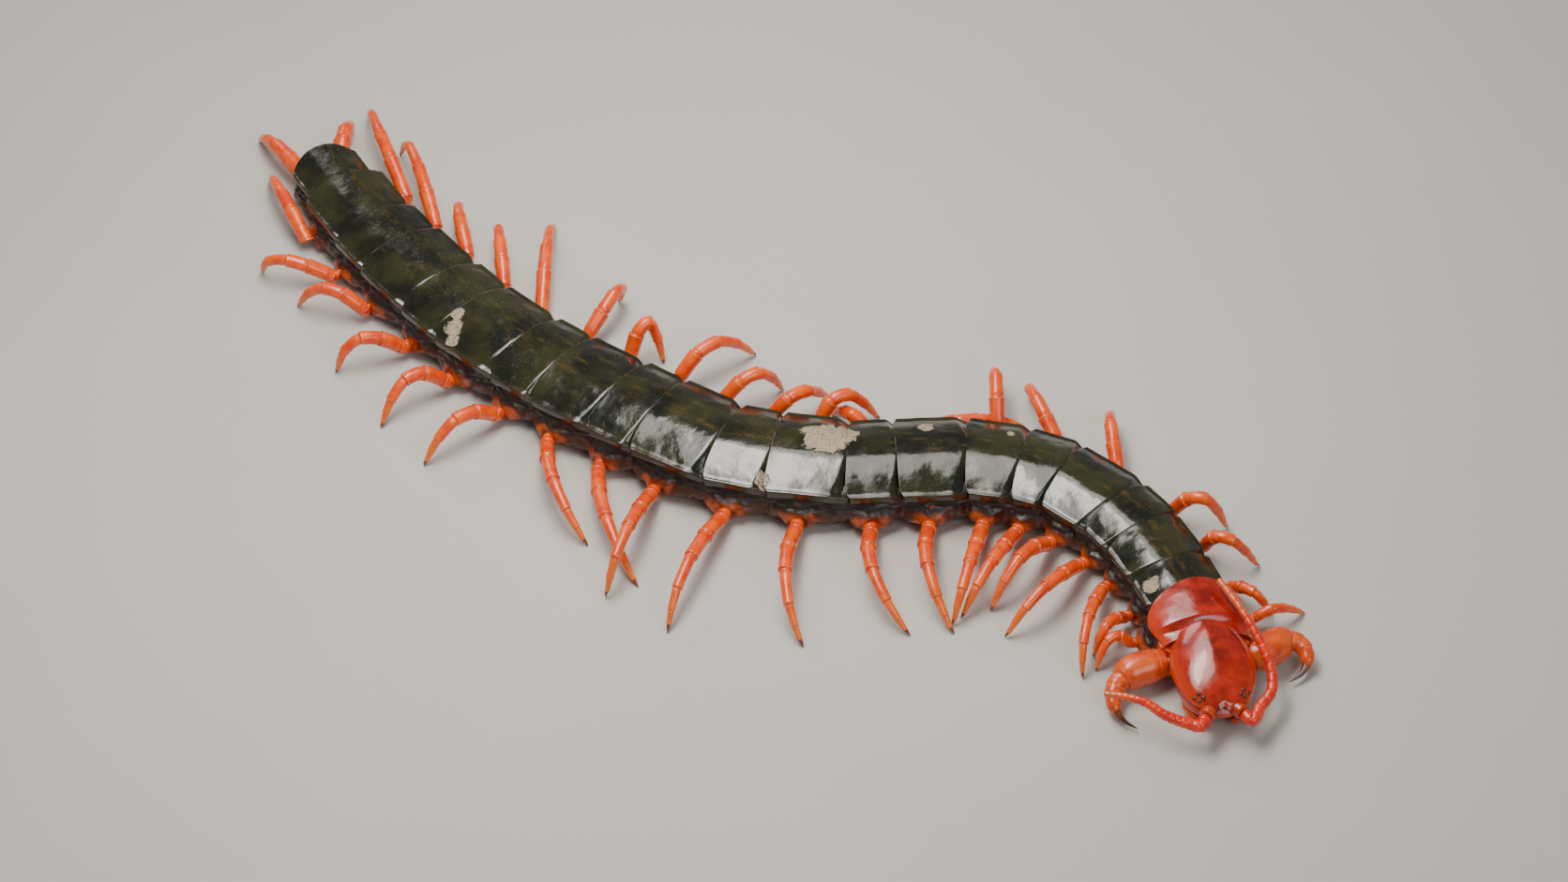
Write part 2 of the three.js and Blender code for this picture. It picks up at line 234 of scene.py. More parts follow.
# %% Curves, rings and closed surfaces
def smooth(points, shares, steps=24):
    """Points of a smooth curve through the given ones, at shares of its length."""
    points = np.asarray(points, float)
    ways = np.vstack([2 * points[0] - points[1], points, 2 * points[-1] - points[-2]])
    dense = []
    for a, b, c, d in zip(ways, ways[1:], ways[2:], ways[3:]):
        ab, bc, cd = (math.sqrt(np.linalg.norm(q - p)) for p, q in ((a, b), (b, c), (c, d)))
        leave = ((b - a) / ab - (c - a) / (ab + bc)) * bc + (c - b)
        enter = (c - b) + ((d - c) / cd - (d - b) / (bc + cd)) * bc
        t = np.linspace(0, 1, steps, endpoint=False)[:, None]
        dense.append((2 * t**3 - 3 * t**2 + 1) * b + (t**3 - 2 * t**2 + t) * leave
                     + (3 * t**2 - 2 * t**3) * c + (t**3 - t**2) * enter)
    dense = np.vstack([*dense, points[-1:]])
    run = np.concatenate([[0], np.cumsum(np.linalg.norm(np.diff(dense, axis=0), axis=1))])
    return np.stack([np.interp(np.asarray(shares) * run[-1], run, column) for column in dense.T], -1)


def unit(vectors):
    return vectors / np.linalg.norm(vectors, axis=-1, keepdims=True)


def ease(values, low, high):
    """0 below low, 1 above high, smooth between."""
    t = np.clip((np.asarray(values, float) - low) / (high - low), 0, 1)
    return t * t * (3 - 2 * t)


def marked(rings, *marks):
    """Rings whose points carry extra numbers after x, y and z."""
    spread = [np.broadcast_to(mark, rings.shape[:2])[..., None] for mark in marks]
    return np.concatenate([rings, *spread], -1)


def hoops(centres, directions, radii, sides, level=None, squash=1.0):
    """Rings round the centres, square to the directions; level is their first axis."""
    directions = unit(np.asarray(directions, float))
    if level is None:
        level = np.stack([directions[:, 1], -directions[:, 0], np.zeros(len(directions))], -1)
    level = unit(np.broadcast_to(level, directions.shape))
    rise = unit(np.cross(level, directions)) * squash
    turn = (np.arange(sides) + 0.5) / sides * 2 * math.pi
    reach = np.asarray(radii, float)[:, None, None]
    across, up = np.cos(turn)[None, :, None], np.sin(turn)[None, :, None]
    return np.asarray(centres)[:, None] + reach * (level[:, None] * across + rise[:, None] * up)


def closed(rings, folded=False):
    """Points and four-sided faces of the closed surface over rings with an even count of sides.
    A folded ring runs out over the top and back underneath, so its end is closed by a strip."""
    count, sides, width = rings.shape
    points = rings.reshape(-1, width)
    grid = np.arange(count * sides).reshape(count, sides)
    near, far = grid[:-1], grid[1:]
    faces = [np.stack([near, np.roll(near, -1, 1), np.roll(far, -1, 1), far], -1).reshape(-1, 4)]
    for ring, turned in ((grid[0], True), (grid[-1], False)):
        if folded:
            other = ring[::-1]
            half = sides // 2
            cap = np.stack([ring[:half - 1], ring[1:half], other[1:half], other[:half - 1]], -1)
        else:
            middle = np.full(sides // 2, len(points))
            points = np.vstack([points, points[ring].mean(0)])
            cap = np.stack([middle, ring[::2], ring[1::2], np.roll(ring, -2)[::2]], -1)
        faces.append(cap[:, ::-1] if turned else cap)
    faces = np.vstack(faces)
    a, b, c, d = (points[faces[:, k], :3] for k in range(4))
    volume = np.einsum("ij,ij->", a, np.cross(b, c) + np.cross(c, d))
    return points, faces if volume > 0 else faces[:, ::-1]


def together(surfaces):
    """Several closed surfaces as one."""
    starts = np.cumsum([0] + [len(points) for points, _ in surfaces])
    faces = [faces + start for (_, faces), start in zip(surfaces, starts)]
    return np.vstack([points for points, _ in surfaces]), np.vstack(faces)


def piece(name, surface, finish, marks=(), replaces=()):
    """A mesh object in metres from a surface in mm, riding on the body."""
    points, faces = surface
    mesh = bpy.data.meshes.new(name)
    mesh.from_pydata((points[:, :3] * MM).tolist(), [], faces.tolist())
    mesh.polygons.foreach_set("use_smooth", [True] * len(faces))
    for column, mark in enumerate(marks, start=3):
        values = mesh.attributes.new(mark, "FLOAT", "POINT").data
        values.foreach_set("value", points[:, column].astype(np.float32))
    mesh.materials.append(finish.material)
    made = bpy.data.objects.new(name, mesh)
    bpy.context.scene.collection.objects.link(made)
    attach(made, "root")
    if replaces:
        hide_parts(*replaces)
    return made


def rumple(points, size, seed):
    """Noise from -1 to 1 at each place, with patches about size mm across."""
    flat = points[..., :3].reshape(-1, 3) / size + seed
    return np.array([noise.noise(p) for p in flat.tolist()]).reshape(points.shape[:-1])


print("a smooth test curve has", len(smooth([[0, 0], [1, 1], [2, 0]], np.linspace(0, 1, 5))), "points")

# %% [markdown]
# ## The finish of the dark back plates
# The plates are hard, polished cuticle: nearly black, with olive and amber showing through where it
# is thinner, in streaks that run along the body. They are dulled by dust, by specks of mud and by a
# few dried patches. A picture texture would need unwrapping; here noise in the plate's own
# coordinates gives streaks that follow every plate round the bends.

# %% Dark plate
MUD_PATCHES = [  # x, y and reach in mm of the dried mud on the back
    (9.2, -13.0, 3.1), (11.6, -12.2, 2.0), (22.5, -10.3, 1.1), (33.6, -11.6, 0.6), (1.0, -19.4, 1.0),
    (-40.4, 8.3, 1.3), (-40.1, 10.4, 1.0), (-40.7, 6.6, 1.0), (50.6, -37.3, 1.2),
]
MUD, MUD_PORE = (0.40, 0.31, 0.215), (0.04, 0.028, 0.018)
NEAR_BLACK, OLIVE = (0.004, 0.005, 0.002), (0.024, 0.024, 0.006)
AMBER, MARGIN_BROWN, DUST = (0.105, 0.066, 0.007), (0.045, 0.028, 0.010), (0.26, 0.22, 0.16)


def mud_mask(finish, spot):
    """1 where dried mud lies: overlapping rounds whose edges noise has frayed."""
    fray = finish.grain(spot, 1.5 * MM, 5.0, 0.7) * 4.0 - 2.0
    cover = 0.0
    for x, y, reach in MUD_PATCHES:
        flat = finish.node("ShaderNodeVectorMath", {"operation": "MULTIPLY"}, (spot, (1, 1, 0)))
        away = finish.node("ShaderNodeVectorMath", {"operation": "DISTANCE"},
                           (flat, (x * MM, y * MM, 0)), output="Value")
        inside = (1 - away * (1 / (reach * MM)) + fray * 0.5).step(0.0, 0.08)
        cover = inside if cover == 0.0 else finish.node(
            "ShaderNodeMath", {"operation": "MAXIMUM"}, (cover, inside))
    return cover


def dark_plate_finish():
    f = Finish("dark_plate", IOR=1.56, Coat_Roughness=0.06, Coat_IOR=1.5)
    spot, across, run, number = f.spot(), f.mark("across"), f.mark("run"), f.mark("plate")
    cloud = f.grain(spot, 5 * MM, 3.0)
    colour = f.mix(cloud.step(0.38, 0.66), NEAR_BLACK, OLIVE)
    streaks = f.grain(f.sheet(run * 0.34, across * 6, number * 5.3), 1.0, 4.0, 0.62)
    middle = (across - 0.08).size().step(0.75, 0.1)
    colour = f.mix(streaks.step(0.48, 0.82) * middle * 0.8, colour, AMBER)
    colour = f.mix(across.size().step(0.9, 1.0) * 0.5, colour, MARGIN_BROWN)
    dust = f.grain(spot, 0.24 * MM, 3.0, 0.7).step(0.63, 0.70) * f.grain(spot, 6 * MM).step(0.40, 0.62)
    colour = f.mix(dust * 0.6, colour, DUST)
    mud = mud_mask(f, spot)
    pits = f.grain(spot, 0.22 * MM, 3.0, 0.7)
    crust = f.mix(pits.step(0.40, 0.47), MUD_PORE, MUD)
    f.feed("Base Color", f.mix(mud, colour, crust))
    smear = f.grain(spot, 2.2 * MM, 4.0, 0.6)
    f.feed("Roughness", smear.step(0.40, 0.75) * 0.14 + 0.13 + dust * 0.25 + mud * 0.5)
    f.feed("Coat Weight", 0.30 - mud * 0.30)
    waves = f.grain(spot, 1.3 * MM, 2.0) * 0.9 + pits * 0.07 + mud * (pits * 0.5 + 1.6)
    f.emboss(waves, 0.06 * MM)
    return f


DARK_PLATE = dark_plate_finish()
print("mud patches:", len(MUD_PATCHES))

# %% [markdown]
# ## The finish of the red plates
# The head plate and the first back plate are a deep, wet-looking red that turns orange where the
# cuticle thins at the margins. Fine dark pits and a smoky cloud over the middle keep it from
# looking like paint. Light enters the thin shell a little, so a small share of subsurface is set.

# %% Red plate
DEEP_RED, WET_RED, EMBER = (0.19, 0.004, 0.001), (0.46, 0.012, 0.001), (0.68, 0.030, 0.001)
THIN_ORANGE, SMOKE, PIT = (0.66, 0.045, 0.001), (0.075, 0.006, 0.003), (0.06, 0.01, 0.006)


def red_plate_finish():
    f = Finish("red_plate", IOR=1.56, Coat_Roughness=0.05, Coat_IOR=1.5, Subsurface_Weight=0.12,
               Subsurface_Radius=(0.0012, 0.0003, 0.0001), Subsurface_Scale=1.0)
    spot, across = f.spot(), f.mark("across")
    cloud = f.grain(spot, 3.2 * MM, 4.0, 0.6)
    colour = f.mix(cloud.step(0.35, 0.7), DEEP_RED, WET_RED)
    ember = f.grain(spot, 4.5 * MM, 4.0, 0.6).step(0.42, 0.8)
    colour = f.mix(ember * 0.8, colour, EMBER)
    colour = f.mix(across.size().step(0.72, 1.0) * 0.85, colour, THIN_ORANGE)
    smoke = f.grain(spot, 1.8 * MM, 5.0, 0.72).step(0.46, 0.68) * across.size().step(0.75, 0.1)
    colour = f.mix(smoke * 0.6, colour, SMOKE)
    pits = f.grain(spot, 0.3 * MM, 2.0, 0.6)
    colour = f.mix(pits.step(0.70, 0.78) * 0.6, colour, PIT)
    f.feed("Base Color", colour)
    f.feed("Roughness", cloud.step(0.4, 0.7) * 0.12 + 0.16)
    f.feed("Coat Weight", cloud * 0.2 + 0.3)
    f.emboss(f.grain(spot, 0.9 * MM, 3.0) * 0.6 + pits * 0.08, 0.06 * MM)
    return f


RED_PLATE = red_plate_finish()
print("finish made:", RED_PLATE.material.name)

# %% [markdown]
# ## The back plates
# Each back plate is a low roof: a flat strip along the middle, two sides that fall away at about
# twenty degrees, a fine bead along the margin, and below it a steep border. It lies like a roof
# tile: its rear edge is free and covers the front of the next plate, and its own front corners
# narrow and dip to pass under the plate ahead. A grid bent over that section and doubled by a
# lower face gives a real shell with an edge that can be seen.

# %% Plate section and outline
TERGITE_SECTION = [  # from the crest to the lower edge: share of the half width, height
    (0, 8.4), (0.14, 8.39), (0.26, 8.33), (0.34, 8.18), (0.5, 7.81), (0.66, 7.35), (0.8, 6.86), (0.89, 6.52),
    (0.925, 6.40), (0.945, 6.385), (0.962, 6.48), (0.98, 6.45), (0.997, 6.2), (1.0, 5.9), (1.0, 5.55),
    (0.985, 5.2),
]
ROOF_SHARE = 0.77  # share of the section's length that is roof, before the bead
SHELL = 0.24  # thickness of the shell in mm
OVERLAP = 0.55  # how far a rear edge covers the next plate
TUCK = 0.45  # how far a front edge runs under the plate ahead
DIP = 0.65  # how far the front of a plate lies below its rear
NARROWING = 0.095  # share of its width that it loses there
SUTURE_AT, SUTURE_DEPTH = 0.30, 0.035
SWELL, RIPPLE = 0.11, 0.022  # the plate's slow unevenness, in mm


def section_shares(roof, border):
    return np.concatenate([np.linspace(0, ROOF_SHARE, roof), np.linspace(ROOF_SHARE, 1, border)[1:]])


def shell(top, thickness, *marks):
    """A closed plate from a grid of its upper face; the lower face lies inside it."""
    down, right = np.gradient(top, axis=0), np.gradient(top, axis=1)
    normals = unit(np.cross(down, right))
    if normals[..., 2].mean() < 0:
        normals = -normals
    rows, columns = top.shape[:2]
    rim = np.minimum(np.arange(columns), np.arange(columns)[::-1])[None]
    edge = np.minimum(np.arange(rows), np.arange(rows)[::-1])[:, None]
    taper = np.minimum(1, 0.35 + 0.22 * np.minimum(rim, edge))
    under = top - normals * (thickness * taper)[..., None]
    both = [marked(face, *marks)[:, ::way] for face, way in ((top, 1), (under, -1))]
    return closed(np.concatenate(both, 1), folded=True)


def rows_between(front, rear, count):
    """Even rows with closer ones at both ends, from each front point to its rear point."""
    t = np.linspace(0, 1, count)[:, None]
    return front + (rear - front) * (t - 0.055 * np.sin(2 * math.pi * t))


def tergite(i):
    """The shell of back plate i, from the second to the last."""
    half = smooth(TERGITE_SECTION, section_shares(24, 26))
    section = np.vstack([half[:0:-1] * (-1, 1), half])
    share, height = section[:, 0], section[:, 1]
    bend = np.abs(share)
    length = PLATE_LENGTHS[i]
    corner = 0.75 * bend**9
    last = 1.3 * (1 - bend**2) if i == SEGMENTS - 1 else 0.0
    rear = -(OVERLAP + last - corner) / length
    front = 1 + (TUCK - 0.5 * bend**6) / length
    along = rows_between(front, rear, 46)
    sink = ease(along, 1 - (0.07 + 0.2 * bend**1.5), 1.02)
    suture = SUTURE_DEPTH * np.exp(-(((bend - SUTURE_AT) / 0.011) ** 2)) * ease(0.9 - along, 0, 0.2)
    side = share * PLATE_WIDTHS[i] / 2 * (1 - NARROWING * sink)
    top = place(i, along, side, (height - suture) * stature(i) - DIP * sink)
    top[..., 2] += (SWELL * rumple(top, 3.2, 7.0 + i) + RIPPLE * rumple(top, 1.3, 17.0)) * ease(bend, 0.1, 0.3)
    return shell(top, SHELL, share, along * length, i / SEGMENTS)


for i in range(1, SEGMENTS):
    piece(f"back_plate_{i + 1:02d}", tergite(i), DARK_PLATE, ("across", "run", "plate"))
print("dark back plates:", SEGMENTS - 1)

# %% [markdown]
# The first back plate is different: red like the head, with two soft slopes but no bead and no
# grooves. Its rear edge is a wide curve that lies far over the second plate, and its front dips
# under the head plate.

# %% First back plate
FIRST_CREST, FIRST_MARGIN = 8.35, 5.5
ROOF_FALL = 0.42  # share of a red plate's height that its two slopes take up
FIRST_REAR_CORNER, FIRST_REAR_REACH = 2.4, 2.1  # mm ahead of and behind the joint with the second


def dome(bend, flat, round_off):
    """1 in the middle and 0 at the margin of a plate that is flat-topped."""
    return np.clip(1 - bend**flat, 0, 1) ** (1 / round_off)


def soft_roof(bend):
    """1 in the middle and 0 at the margin of a plate with two gentle slopes and a round border."""
    slope = (np.sqrt(bend**2 + 0.03) - math.sqrt(0.03)) / (math.sqrt(1.03) - math.sqrt(0.03))
    return (1 - ROOF_FALL * slope) * dome(bend, 5.0, 2.2)


def first_tergite():
    share = np.sin(np.linspace(-1, 1, 91) * math.pi / 2)
    bend = np.abs(share)
    length = PLATE_LENGTHS[0]
    rear = (FIRST_REAR_CORNER - (FIRST_REAR_CORNER + FIRST_REAR_REACH) * dome(bend, 2.2, 2.0)) / length
    front = 1 - (0.25 - 0.55 * bend**3) / length
    along = rows_between(front, rear, 56)
    side = share * PLATE_WIDTHS[0] / 2 * (1 - 0.11 * ease(along, 0.45, 0.95) - 0.03 * ease(along, 0.3, -0.3))
    height = FIRST_MARGIN + (FIRST_CREST - FIRST_MARGIN) * soft_roof(bend)
    drop = 0.9 * ease(along, 0.60, 0.80) * dome(bend, 2, 2) + 0.12 * ease(along, 0.0, -0.35)
    top = place(0, along, side, height * stature(0) - drop)
    top[..., 2] += 0.03 * rumple(top, 2.4, 3.0)
    return shell(top, SHELL * 1.2, share)


piece("back_plate_01", first_tergite(), RED_PLATE, ("across",))
print("first plate covers the second by", FIRST_REAR_REACH, "mm")

# %% [markdown]
# ## The finish of the skin
# Between back and belly plates the flank is soft skin. Just under the margin it is black and wet
# and folds lengthwise; lower down, round the roots of the legs, it swells and turns orange-brown,
# with painted shade darkening the hollows between the legs.
# It could be painted, but the mesh already knows how high each point lies, how near it is to a leg
# and whether it is at the neck, and the finish mixes its colours by those three marks.

# %% Flank
COXA_BROWN, COXA_ORANGE = (0.12, 0.016, 0.001), (0.48, 0.075, 0.002)
# The first colour here is painted shade for the hollows between the legs; the second is real grime.
PAINTED_HOLLOW_SHADE, GRIME = (0.055, 0.014, 0.005), (0.04, 0.012, 0.006)
WET_BLACK, DARK_BROWN = (0.010, 0.008, 0.007), (0.05, 0.022, 0.012)
NECK_RED, NECK_ORANGE, BELLY_SKIN = (0.50, 0.030, 0.001), (0.70, 0.085, 0.002), (0.30, 0.16, 0.07)


def flank_finish():
    f = Finish("flank", IOR=1.5, Coat_Roughness=0.12, Coat_IOR=1.45, Subsurface_Weight=0.1,
               Subsurface_Radius=(0.0010, 0.0004, 0.0002), Subsurface_Scale=1.0)
    spot, level, neck, root = f.spot(), f.mark("level"), f.mark("neck"), f.mark("root")
    blotch = f.grain(spot, 1.4 * MM, 4.0, 0.65)
    fine = f.grain(spot, 0.3 * MM, 3.0, 0.6)
    low = f.mix(blotch.step(0.34, 0.62), COXA_BROWN, COXA_ORANGE)
    # Painted shade: away from the leg roots the lower flank darkens towards the hollows between the coxae.
    low = f.mix((root + blotch * 0.5).step(0.3, 0.75), PAINTED_HOLLOW_SHADE, low)
    low = f.mix(fine.step(0.52, 0.72) * 0.5, low, GRIME)
    dark = f.mix(blotch.step(0.5, 0.75), WET_BLACK, DARK_BROWN)
    colour = f.mix((level + blotch * 1.4 - 0.7).step(3.1, 3.9), low, dark)
    colour = f.mix(neck, colour, f.mix(blotch.step(0.4, 0.6), NECK_RED, NECK_ORANGE))
    belly = level.step(1.1, 0.8)
    f.feed("Base Color", f.mix(belly * 0.7, colour, BELLY_SKIN))
    f.feed("Roughness", blotch * 0.25 + 0.18)
    f.feed("Coat Weight", blotch.step(0.4, 0.7) * 0.5)
    f.emboss(f.grain(spot, 0.5 * MM, 4.0, 0.65) + fine * 0.3, 0.10 * MM)
    return f


FLANK = flank_finish()
print("finish made:", FLANK.material.name)

# %% [markdown]
# ## The skin
# One skin runs from the neck to the tail, because on the animal nothing divides it. Its section
# changes between two shapes: pulled in at every joint, and swollen between them where a pair of
# legs stands. Folds are moved into the mesh itself, long ones under the margin and lumps below.

# %% Skin from neck to tail
SKIN_MIDDLE = [  # share of the half width, height; from under the crest down to the belly
    (0, 7.95), (0.3, 7.8), (0.6, 6.95), (0.85, 6.15), (0.92, 5.7), (0.935, 5.2), (0.97, 4.8), (0.955, 4.3),
    (0.985, 3.8), (1.03, 3.1), (1.05, 2.4), (1.0, 1.65), (0.9, 1.15), (0.72, 0.88), (0.4, 0.78), (0, 0.76),
]
SKIN_JOINT = [
    (0, 7.75), (0.3, 7.6), (0.6, 6.8), (0.83, 6.05), (0.88, 5.6), (0.9, 5.1), (0.915, 4.7), (0.89, 4.3),
    (0.91, 3.8), (0.93, 3.1), (0.93, 2.4), (0.87, 1.75), (0.78, 1.3), (0.62, 1.05), (0.36, 0.92), (0, 0.9),
]
COXA_AT, FIRST_COXA_AT = 0.4, 0.28
COXA_REACH, COXA_HEIGHT, COXA_SPREAD = 0.95, 2.2, 2.1
SKIN_ROW = 0.27  # mm between rings
FLANK_MIDDLE = 3.6  # the height that the ends close towards
NECK_SINK = 1.1  # how far the skin dips under the first plate's front
FOLD, LUMP, FINE_LUMP = 0.13, 0.42, 0.10


def coxa_share(i):
    return FIRST_COXA_AT if i == 0 else COXA_AT


def around(half, sign=1):
    """Values of the left half of each ring, followed by those of the right half."""
    return np.hstack([half, sign * half[:, -2:0:-1]])


def skin_rings():
    shares = np.linspace(0, 1, 50)
    middle, joint = (smooth(section, shares) for section in (SKIN_MIDDLE, SKIN_JOINT))
    parts = []
    for i in range(SEGMENTS):
        rows = max(14, round(PLATE_LENGTHS[i] / SKIN_ROW))
        along = np.linspace(1, 0, rows, endpoint=False)
        if i == SEGMENTS - 1:
            along = np.append(along, [0.02, 0.0, -0.02])
        if i == 0:
            along = np.append(np.linspace(1.28, 1, 8, endpoint=False), along)
        swell = np.clip(np.sin(math.pi * np.clip(along, 0, 1)), 0, 1)[:, None, None] ** 0.6
        section = joint + (middle - joint) * swell
        close = np.ones(len(along))
        if i == 0:
            close = 0.75 + 0.25 * ease(along, 1.28, 0.95)
        if i == SEGMENTS - 1:
            close[-3:] = (0.93, 0.8, 0.5)
        share, height = section[..., 0] * close[:, None], section[..., 1]
        height = FLANK_MIDDLE + (height - FLANK_MIDDLE) * (0.4 + 0.6 * close[:, None])
        if i == 0:
            height = height - NECK_SINK * ease(along, 0.45, 0.7)[:, None] * ease(height, 5.0, 6.8)
        run = (along - coxa_share(i))[:, None] * PLATE_LENGTHS[i]
        near = np.exp(-((run**2 + (height - COXA_HEIGHT) ** 2 * 1.3) / COXA_SPREAD**2) ** 1.6)
        near = near * (share > 0.6) * (i < SEGMENTS - 1)
        side = share * PLATE_WIDTHS[i] / 2
        side = side + near * (PLATE_WIDTHS[i] / 2 + COXA_REACH - side)
        side, height, near = around(side, -1), around(height), around(near)
        ring = place(i, along[:, None], side, height * stature(i))
        neck = ease(along, 0.75, 0.95)[:, None] if i == 0 else 0.0
        parts.append(marked(ring, height, neck, near))
    return np.vstack(parts)


def wrinkled(rings):
    """Rings with the folds and lumps of soft skin, strongest on the flank."""
    spots, level = rings[..., :3], rings[..., 3]
    out = spots - spots.mean(1, keepdims=True)
    out[..., 2] *= 0.5
    above_belly, below_margin = ease(level, 0.8, 1.3), ease(level, 5.6, 5.0)
    folds = np.sin(level * 7.5 + 2.2 * rumple(spots, 2.2, 11.0)) * ease(level, 3.3, 3.9) * below_margin
    lumps = (1 - 2.6 * np.abs(rumple(spots, 1.9, 23.0))) * ease(level, 5.0, 3.8) * above_belly
    fine = rumple(spots, 0.55, 31.0) * above_belly * below_margin
    moved = rings.copy()
    moved[..., :3] += unit(out) * (FOLD * folds + LUMP * lumps + FINE_LUMP * fine)[..., None]
    return moved


TRUNK_NODES = ["trunk_01"] + [f"trunk_{i:02d}_{i + 1:02d}" for i in range(2, SEGMENTS, 2)]
SKIN_MARKS = ("level", "neck", "root")
skin = piece("body_skin", closed(wrinkled(skin_rings())), FLANK, SKIN_MARKS, TRUNK_NODES)
print("skin points:", len(skin.data.vertices))

# %% [markdown]
# ## The legs
# A leg is a row of hollow tubes, each a little wider at its far end, where a pale collar holds the
# next one: trochanter, prefemur, femur, tibia and a tarsus in two parts. The row follows an arch
# from the coxa over a knee to the floor. Each pose is given by where the foot and the knee stand.

# %% Leg poses
COXA_TURN, COXA_TURN_MAX = 0.35, 20
TROCHANTER, HALF_GAP = 1.0, 0.17
KNEE_AT = 0.45
LEG_GIRTHS = [0.72, 0.82, 0.88, 0.94]
LAST_LEG_GIRTH = 1.2
LAST_COXA_SIDE, LAST_COXA_HEIGHT = 2.6, 2.6
RIGHT_POSES = [  # foot outward, foot forward, knee outward, knee forward, knee height
    (6.0, 1.8, 3.5, 0.0, 4.0), (6.5, 3.4, 4.5, 2.4, 4.4), (10.0, 11.0, 7.0, 6.5, 5.0),
    (15.5, 3.0, 9.0, 2.5, 5.0), (13.5, 0.5, 7.5, 0.5, 5.5), (16.0, -2.0, 10.0, -0.5, 5.0),
    (16.5, -1.5, 11.0, -0.5, 5.0), (17.5, 2.0, 9.5, -1.0, 5.0), (17.5, 4.0, 10.0, -0.5, 5.0),
    (19.5, 3.5, 11.5, 0.0, 5.0), (20.5, -2.0, 12.0, -1.5, 5.0), (18.0, 3.5, 12.5, 3.0, 6.5),
    (14.0, 15.5, 8.0, 6.0, 4.0), (11.5, 14.5, 8.0, 6.5, 5.0), (12.5, -3.0, 6.5, -1.5, 5.5),
    (11.5, -2.0, 5.5, -2.0, 5.5), (9.5, -4.0, 6.0, -2.5, 5.5), (6.5, -8.5, 4.0, -4.5, 5.0),
    (7.5, -8.5, 6.0, -5.0, 4.5), (-1.5, -16.0, 0.3, -8.5, 4.0), (1.0, -14.0, 1.0, -7.5, 3.6),
]
LEFT_POSES = [
    (8.0, -1.0, 3.5, 0.0, 3.2), (4.5, 4.5, 2.0, 4.0, 4.5), (6.5, 5.0, 2.0, 3.0, 6.0),
    (6.0, 5.5, 2.5, 3.5, 6.5), (9.0, -7.0, 5.5, -5.0, 4.5), (10.0, -7.5, 6.0, -5.5, 4.5),
    (11.5, -2.0, 7.0, -1.3, 6.2), (2.0, 14.0, 2.2, 7.5, 2.2), (6.5, -4.5, 2.5, -2.2, 3.8),
    (5.5, 8.0, 3.5, 3.0, 6.0), (9.0, 6.5, 3.0, 3.5, 6.0), (9.0, 5.0, 4.5, 3.0, 6.0),
    (13.0, 5.0, 6.5, 2.0, 6.0), (5.0, 3.0, 4.5, 0.5, 7.0), (11.0, -2.5, 8.0, -0.5, 5.5),
    (16.0, -12.5, 8.5, -6.5, 5.0), (8.0, -10.5, 5.5, -7.0, 4.0), (6.5, -9.5, 4.0, -6.5, 4.0),
    (6.0, -17.5, 5.0, -12.0, 5.0), (6.0, -20.5, 3.0, -12.0, 5.0), (6.0, -9.5, 3.0, -5.0, 4.2),
]


def coxa(i, side, pose):
    """The middle of the coxa's face, where it looks, and the segment's forward and outward."""
    forward, outward = heading(HEADINGS[i]), heading(HEADINGS[i] + 90 * side)
    if i == SEGMENTS - 1:
        return place(i, -0.02, side * LAST_COXA_SIDE, LAST_COXA_HEIGHT), -forward, forward, outward
    face = place(i, coxa_share(i), side * (PLATE_WIDTHS[i] / 2 + 1.0), COXA_HEIGHT * stature(i))
    sweep = math.degrees(math.atan2(pose[1], pose[0]))
    turn = max(-COXA_TURN_MAX, min(COXA_TURN_MAX, COXA_TURN * sweep))
    return face, heading(HEADINGS[i] + side * (90 - turn)), forward, outward


def arch(i, side, pose, count=200):
    """Points along the middle of a leg, evenly spaced, from the coxa's face to the foot."""
    face, direction, forward, outward = coxa(i, side, pose)
    foot_out, foot_ahead, knee_out, knee_ahead, knee_height = pose
    foot = face + outward * foot_out + forward * foot_ahead
    knee = face + outward * knee_out + forward * knee_ahead
    foot[2], knee[2] = 0.0, knee_height
    start = face + direction * TROCHANTER
    pull = (knee - start * (1 - KNEE_AT) ** 2 - foot * KNEE_AT**2) / (2 * KNEE_AT * (1 - KNEE_AT))
    t = np.linspace(0, 1, count)[:, None]
    line = start * (1 - t) ** 2 + pull * 2 * t * (1 - t) + foot * t**2
    run = np.concatenate([[0], np.cumsum(np.linalg.norm(np.diff(line, axis=0), axis=1))])
    even = np.linspace(0, run[-1], count)
    return face, direction, np.stack([np.interp(even, run, c) for c in line.T], -1)


print("legs:", len(RIGHT_POSES) + len(LEFT_POSES))

# %% [markdown]
# The leg's finish is a hot orange-red that fades to amber at the tip. Collars are paler, because
# the cuticle is doubled there, and a thin dark seam lies beside each. Fine lengthwise grain and a
# few specks of dirt break up the gloss.

# %% Leg finish
# Below zero the collar mark darkens: a real dark seam on a leg, and painted shade in a breathing hole's slit.
LIMB_MARKS = ("along", "collar")  # share of the limb's length; 1 on a pale collar, -1 in a dark seam
# The first colour darkens the real seams at the leg joints and is also painted shade inside each breathing
# hole's slit.
DARK_SEAM_AND_SLIT_SHADE, DIRT = (0.16, 0.012, 0.002), (0.12, 0.05, 0.03)


